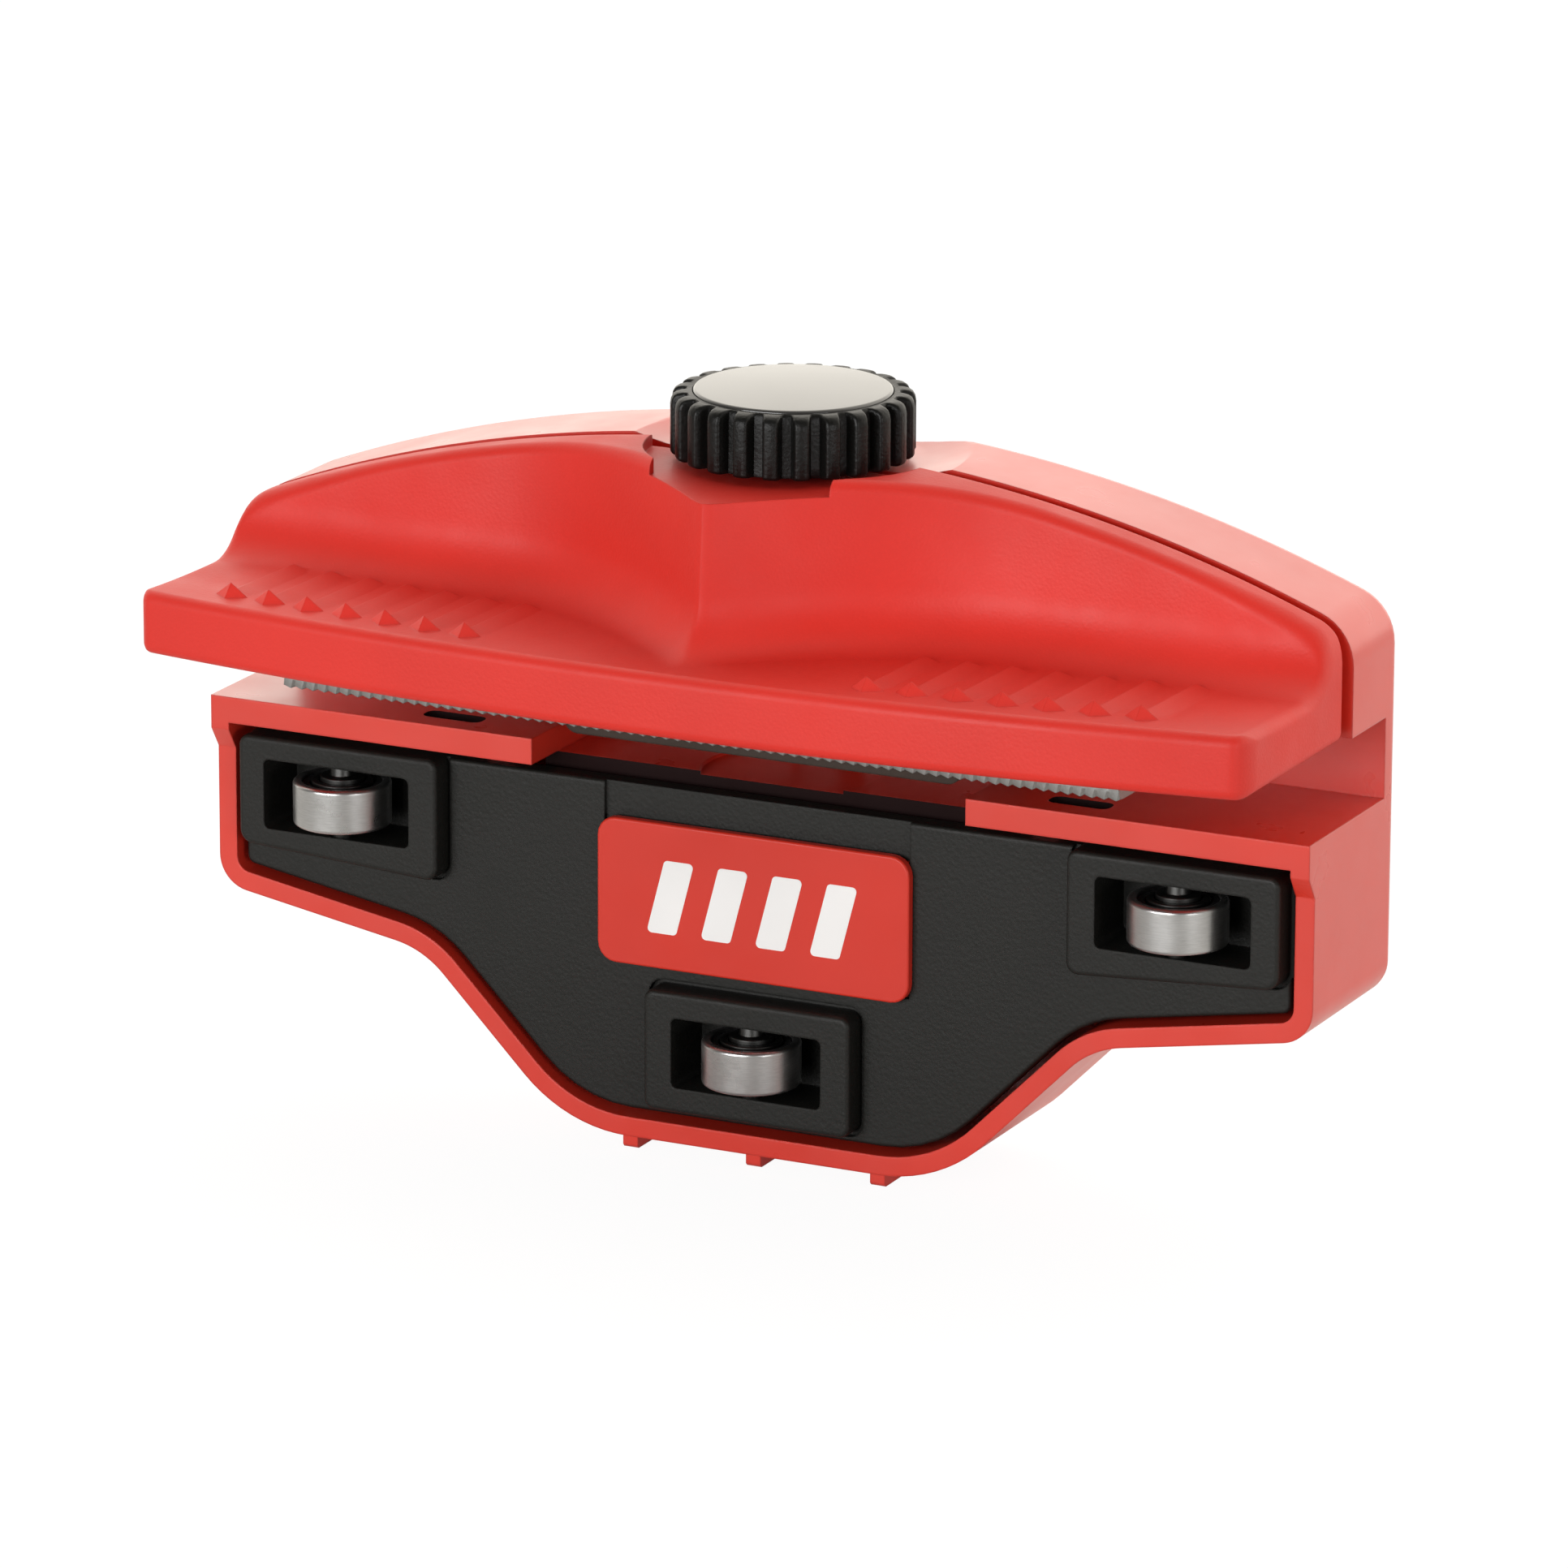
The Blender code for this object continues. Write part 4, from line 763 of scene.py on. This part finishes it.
def file_blade():
    """Flat file whose working edge is cut into slanting teeth."""
    rings = []
    steps = 4
    last = int(FILE_LENGTH / TOOTH_PITCH) * steps
    front = FILE_FRONT + 0.05
    for i in range(last + 1):
        x = -FILE_LENGTH / 2 + FILE_LENGTH * i / last
        bite = TOOTH_DEPTH * (1 - (i % steps) / steps)
        rings.append([
            (x, FILE_BACK - 0.05, FILE_BOTTOM + 0.05), (x, FILE_BACK, FILE_TOP - 0.2),
            (x, FILE_BACK - 0.2, FILE_TOP),
            (x + 0.6, front + 0.2, FILE_TOP), (x + 0.6, front, FILE_TOP - 0.2),
            (x + 0.3, front, FILE_BOTTOM + 1.1), (x, front + bite, FILE_BOTTOM + 0.06 + bite * 0.8),
            (x, front + 1.2, FILE_BOTTOM + 0.05 + bite * 0.35),
        ])
    end = 49.99
    for ring in (rings[0], rings[-1]):
        for k, (x, y, z) in enumerate(ring):
            ring[k] = (max(-end, min(end, x)), y, z)
    blade = loft("file_blade_look", rings)
    finish_piece(bake(blade, sharp=25), "file", FILE_STEEL, "file_steel", "file_blade")


# ---------------------------------------------------------------- roller plate


def roller_places():
    return (("left", -ROLLER_X, SIDE_Z), ("right", ROLLER_X, SIDE_Z), ("bottom", 0.0, LOW_Z))


def pad_corners(side, x, z):
    if side == "bottom":
        return rectangle(x, z, PAD_HALF_W, PAD_HALF_H, 1.2)
    sign = -1 if side == "left" else 1
    inner, outer = x - sign * PAD_HALF_W, x + sign * PAD_OUTER
    low, top = z - PAD_HALF_H, PLATE_TOP + 0.3
    corners = [
        (outer, low + 0.9, 1.6), (outer, top, 1.2), (inner, top, 1.2), (inner, low - 0.6, 1.4),
    ]
    return corners if side == "left" else corners[::-1]


def pad(name, corners, front, back, edge=0.55):
    """A raised pad whose front edge rolls over into its face."""
    levels = [(back, 0.0), (front + edge, 0.0)]
    for a in map(math.radians, (25, 50, 70, 90)):
        levels.append((front + edge * (1 - math.sin(a)), edge * (1 - math.cos(a))))
    return loft(name, [[(x, y, z) for x, z in rounded(inset(corners, d), 5)] for y, d in levels])


def roller_plate():
    edge = inset(lower_corners(FLANGE_TOP), RIM + PLATE_GAP)
    outline = [(u, PLATE_TOP, 1.0) if v > 40 else (u, v, r) for u, v, r in edge]
    plate = pad("roller_plate_look", outline, PLATE_FRONT, PLATE_BACK, 0.4)
    low = (-18.5, PLATE_FRONT - 3, LABEL_Z - 7.9)
    cut(plate, box("recess_cut", low, (18.5, PLATE_FRONT + 0.5, PLATE_TOP + 2)))
    for side, x, z in roller_places():
        groove = inset(pad_corners(side, x, z), -0.55)
        cut(plate, prism(f"groove_{side}", rounded(groove, 5), PLATE_FRONT - 3, PLATE_FRONT + 0.8))
        join(plate, pad(f"pad_{side}", pad_corners(side, x, z), PAD_FRONT, 8.6))
    for sign in (-1, 1):
        middle = sign * (LUG_X + 3.3)
        ear_high = (middle + 1.4, PIVOT_Y + 2.6, PIVOT_Z + 2.6)
        join(plate, box(f"ear{sign}", (middle - 1.4, 4, PIVOT_Z - 2.6), ear_high))
    join(plate, box("yoke", (-6.5, 4, DIAL_Z - 6), (6.5, 12.4, DIAL_Z + 6)))
    for side, x, z in roller_places():
        window = rounded(rectangle(x, z, WINDOW_HALF_W, WINDOW_HALF_H, 0.7), 4)
        cut(plate, prism(f"window_{side}", window, PAD_FRONT - 1, 7.6))
        cut(plate, rod(f"pin_hole_{side}", PIN_HOLE_R, z - 5.9, z + 5.9, (x, ROLLER_Y), "Z", 28))
    for sign in (-1, 1):
        ends = sorted((sign * (LUG_X + 1), sign * (LUG_X + 6)))
        cut(plate, rod(f"ear_hole{sign}", PIVOT_HOLE_R, *ends, (PIVOT_Y, PIVOT_Z), "X", 28))
    cut(plate, rod("trunnion_cut", 3.6, -7.5, 7.5, (8.2, DIAL_Z), "X", 40))
    cut(plate, rod("way_cut", 3.0, 4.0, 14, (0, DIAL_Z), "Y", 32))
    done = bake(plate, sharp=34)
    finish_piece(done, "guide_plate", BLACK, "black_plastic", "roller_plate")


def label():
    """The red plate with four plain slanted bars."""
    corners = rectangle(0, LABEL_Z, LABEL_HALF_W, LABEL_HALF_H, 2.2)
    plate = pad("label_plate_look", corners, 1.4, 2.4, 0.3)
    join(plate, box("key", (-18.3, 2.2, LABEL_Z - 7.6), (18.3, 2.85, LABEL_Z + 7.6)))
    finish_piece(bake(plate, sharp=40), "guide_plate", LABEL_RED, "red_body", "label_plate")
    for i in range(4):
        x = -9.9 + i * 6.6
        bar = rounded([
            (x - 2.9, LABEL_Z - 4.2, 0.5), (x - 0.7, LABEL_Z + 4.2, 0.5),
            (x + 2.9, LABEL_Z + 4.2, 0.5), (x + 0.7, LABEL_Z - 4.2, 0.5),
        ], 5)
        mark = prism(f"label_bar_{i + 1}", bar, 1.36, 1.6)
        finish_piece(bake(mark), "guide_plate", WHITE, "red_body")


def rollers():
    """Three ball bearings, each an outer ring, two seals, an inner ring and its pin."""
    half = RING_HALF
    for side, x, z in roller_places():
        centre = (x, ROLLER_Y, z)
        profile = rounded(tube(RING_BORE_R, RING_R, -half, half, 0.12, 0.42), 5)
        name = f"roller_ring_{side}"
        ring = spin(name + "_look", profile, centre, segments=128)
        finish_piece(bake(ring, sharp=50), f"{side}_roller", RING_STEEL, "steel", name)
        for level, low in (("upper", half - 0.75), ("lower", -half + 0.35)):
            profile = rounded(tube(3.6, 4.42, low, low + 0.4, 0.1, 0.1), 3)
            name = f"roller_seal_{level}_{side}"
            seal = spin(name + "_look", profile, centre, segments=64)
            finish_piece(bake(seal), f"{side}_roller", RUBBER, "rubber_seal", name)
        profile = rounded(tube(2.6, 3.45, -half, half, 0.15, 0.15), 3)
        name = f"bearing_inner_{side}"
        inner = spin(name + "_look", profile, centre, segments=64)
        finish_piece(bake(inner), "guide_plate", PIN_STEEL, "steel", name)
        shape = [
            (ON_AXIS, -PIN_END), (PIN_R, -PIN_END), (PIN_R, -3.0), (2.45, -3.0),
            (2.45, 3.0), (PIN_R, 3.0), (PIN_R, PIN_END), (ON_AXIS, PIN_END),
        ]
        name = f"roller_pin_{side}"
        pin = spin(name + "_look", soft_profile(shape, 0.15), centre, segments=48)
        finish_piece(bake(pin), "guide_plate", PIN_STEEL, "steel", name)


# ---------------------------------------------------------------- back of the tool


def socket_screw(name, node, head_r, head_h, shank_r, length, centre, body):
    x, y, z = centre
    profile = [
        (ON_AXIS, y - length), (shank_r - 0.3, y - length), (shank_r, y - length + 0.4),
        (shank_r, y - head_h), (head_r, y - head_h), (head_r, y), (ON_AXIS, y),
    ]
    bolt = spin(name, soft_profile(profile, 0.22), (x, 0, z), "Y", 48)
    cut(bolt, rod(name + "_socket", head_r * 0.52, y - head_h * 0.65, y + 1, (x, z), "Y", 6))
    finish_piece(bake(bolt, sharp=35), body, SCREW_STEEL, "dark_steel", node)


def back_details():
    for side, x in zip(("outer_left", "inner_left", "inner_right", "outer_right"), SCREW_X):
        name = f"grip_screw_{side}"
        place = (x, BACK - 0.4, SCREW_Z)
        socket_screw(name + "_look", name, 2.75, 2.6, 1.45, 21.0, place, "frame")
    levels = [
        (CUP_FLOOR + 0.3, 0.3), (CUP_FLOOR + 0.6, 0.0), (BACK - 1.2, 0.0),
        (BACK - 0.85, 0.12), (BACK - 0.65, 0.4),
    ]
    centre = (0, DIAL_Z)
    rings = [lobe_ring(y, pull, 0.7, DIAL_R, 24, 12, centre, "Y") for y, pull in levels]
    dial = loft("angle_dial_look", rings)
    dish = [(4.6, BACK - 2.4), (9.0, BACK - 2.4), (9.0, BACK + 1), (4.6, BACK + 1)]
    cut(dial, spin("dish", dish, (0, 0, DIAL_Z), "Y", 96))
    join(dial, box("bar", (-1.3, BACK - 3.0, DIAL_Z - 9.4), (1.3, BACK - 0.7, DIAL_Z + 9.4)))
    cut(dial, rod("dial_bore_cut", 2.1, CUP_FLOOR - 1, BACK - 2.8, (0, DIAL_Z), "Y", 32))
    cut(dial, rod("dial_fixing_cut", 1.15, CUP_FLOOR, BACK + 1, (0, DIAL_Z), "Y", 28))
    cut(dial, rod("dial_head_cut", 2.5, BACK - 2.1, BACK + 1, (0, DIAL_Z), "Y", 48))
    finish_piece(bake(dial), "dial", BLACK, "black_plastic", "angle_dial")
    place = (0, BACK - 0.65, DIAL_Z)
    socket_screw("dial_screw_look", "dial_screw", 2.2, 1.4, 0.95, 6.0, place, "dial")


# ---------------------------------------------------------------- remaining CAD nodes


def dress_cad_nodes():
    """Inner pieces keep their CAD shape and take a node material."""
    slots = {row["node"]: row["material_slot"] for row in frame["record"]["subparts"]}
    for name, obj in frame["nodes"].items():
        if obj.hide_render:
            continue
        obj.data.materials.clear()
        obj.data.materials.append(SLOT_LOOKS[slots[name]])


# ---------------------------------------------------------------- studio


def area_light(name, location, target, size, power, colour=(1, 1, 1)):
    data = bpy.data.lights.new(name, "AREA")
    data.shape = "RECTANGLE"
    data.size, data.size_y = size
    data.energy = power
    data.color = colour
    light = bpy.data.objects.new(name, data)
    bpy.context.scene.collection.objects.link(light)
    light.location = location
    direction = Vector(target) - Vector(location)
    light.rotation_euler = direction.to_track_quat("-Z", "Y").to_euler()


def paper_floor():
    """Paper that is near-white to the camera, with only a faint contact shadow.

    Every other ray sees it run from grey in front of the tool to pale behind it.
    """
    floor = box("floor", (-4000, -4000, -3.0), (4000, 4000, -0.05))
    look = Look("floor_white", (0.9, 0.9, 0.9), 0.9, specular=0.0)
    path = look.add("ShaderNodeLightPath")
    drift = look.ramp(look.noise(300, 2.0), 0.0, 1.0)
    grain = look.mix_colour(drift, (0.86, 0.86, 0.86), (0.90, 0.90, 0.90))
    split = look.add("ShaderNodeSeparateXYZ")
    look.wire(look.coords, split.inputs["Vector"])
    behind = look.ramp(split.outputs["Y"], 0.0, 1.0, -0.25, 0.20)
    shaded = look.mix_colour(behind, (0.30, 0.30, 0.30), grain)
    look.colour(look.mix_colour(path.outputs["Is Camera Ray"], shaded, (0.10, 0.10, 0.10)))
    look.shader.inputs["Emission Color"].default_value = (1, 1, 1, 1)
    glow = look.ramp(path.outputs["Is Camera Ray"], 0.05, 0.94, 0.0, 1.0)
    look.wire(glow, look.shader.inputs["Emission Strength"])
    floor.data.materials.append(look.material)


def backdrop():
    """A warm white surround, bright behind the tool and dim in front of it."""
    world = bpy.data.worlds.new("studio")
    world.use_nodes = True
    tree = world.node_tree
    shader = tree.nodes["Background"]
    coords = tree.nodes.new("ShaderNodeTexCoord")
    split = tree.nodes.new("ShaderNodeSeparateXYZ")
    tree.links.new(coords.outputs["Generated"], split.inputs["Vector"])
    depth = tree.nodes.new("ShaderNodeMapRange")
    depth.interpolation_type = "SMOOTHSTEP"
    depth.inputs["From Min"].default_value = -0.5
    depth.inputs["From Max"].default_value = 0.75
    depth.inputs["To Min"].default_value = WORLD_FRONT
    depth.inputs["To Max"].default_value = WORLD_BACK
    tree.links.new(split.outputs["Y"], depth.inputs["Value"])
    tree.links.new(depth.outputs["Result"], shader.inputs["Strength"])
    shader.inputs["Color"].default_value = (1.0, 0.95, 0.86, 1)
    bpy.context.scene.world = world


def studio():
    bpy.context.scene.view_settings.view_transform = "Standard"
    paper_floor()
    backdrop()
    area_light("front_soft", (-0.22, -1.12, 0.24), (0, 0, 0.045), (1.0, 0.5), FRONT_W)
    area_light("right_low", (0.85, -0.55, 0.06), (0.03, 0, 0.045), (0.3, 0.3), RIGHT_W)


def camera():
    target = Vector((2.121, 5.0 + SHIFT_Y, 43.221)) * MM
    azimuth, elevation, roll = (math.radians(a) for a in (25.953, 16.083, 0.217))
    back = Vector((
        math.sin(azimuth) * math.cos(elevation),
        -math.cos(azimuth) * math.cos(elevation),
        math.sin(elevation),
    ))
    right = Vector((0, 0, 1)).cross(back).normalized()
    up = back.cross(right)
    turned_right = math.cos(roll) * right + math.sin(roll) * up
    turned_up = -math.sin(roll) * right + math.cos(roll) * up
    data = bpy.data.cameras.new("camera")
    data.sensor_width = 36.0
    data.lens = 227.23
    data.clip_end = 50
    obj = bpy.data.objects.new("camera", data)
    bpy.context.scene.collection.objects.link(obj)
    place = Matrix((turned_right, turned_up, back)).transposed().to_4x4()
    place.translation = target + back * 1.07599
    obj.matrix_world = place
    bpy.context.scene.camera = obj


body_shell()
front_grip()
knob()
file_blade()
roller_plate()
label()
rollers()
back_details()
dress_cad_nodes()
studio()
camera()
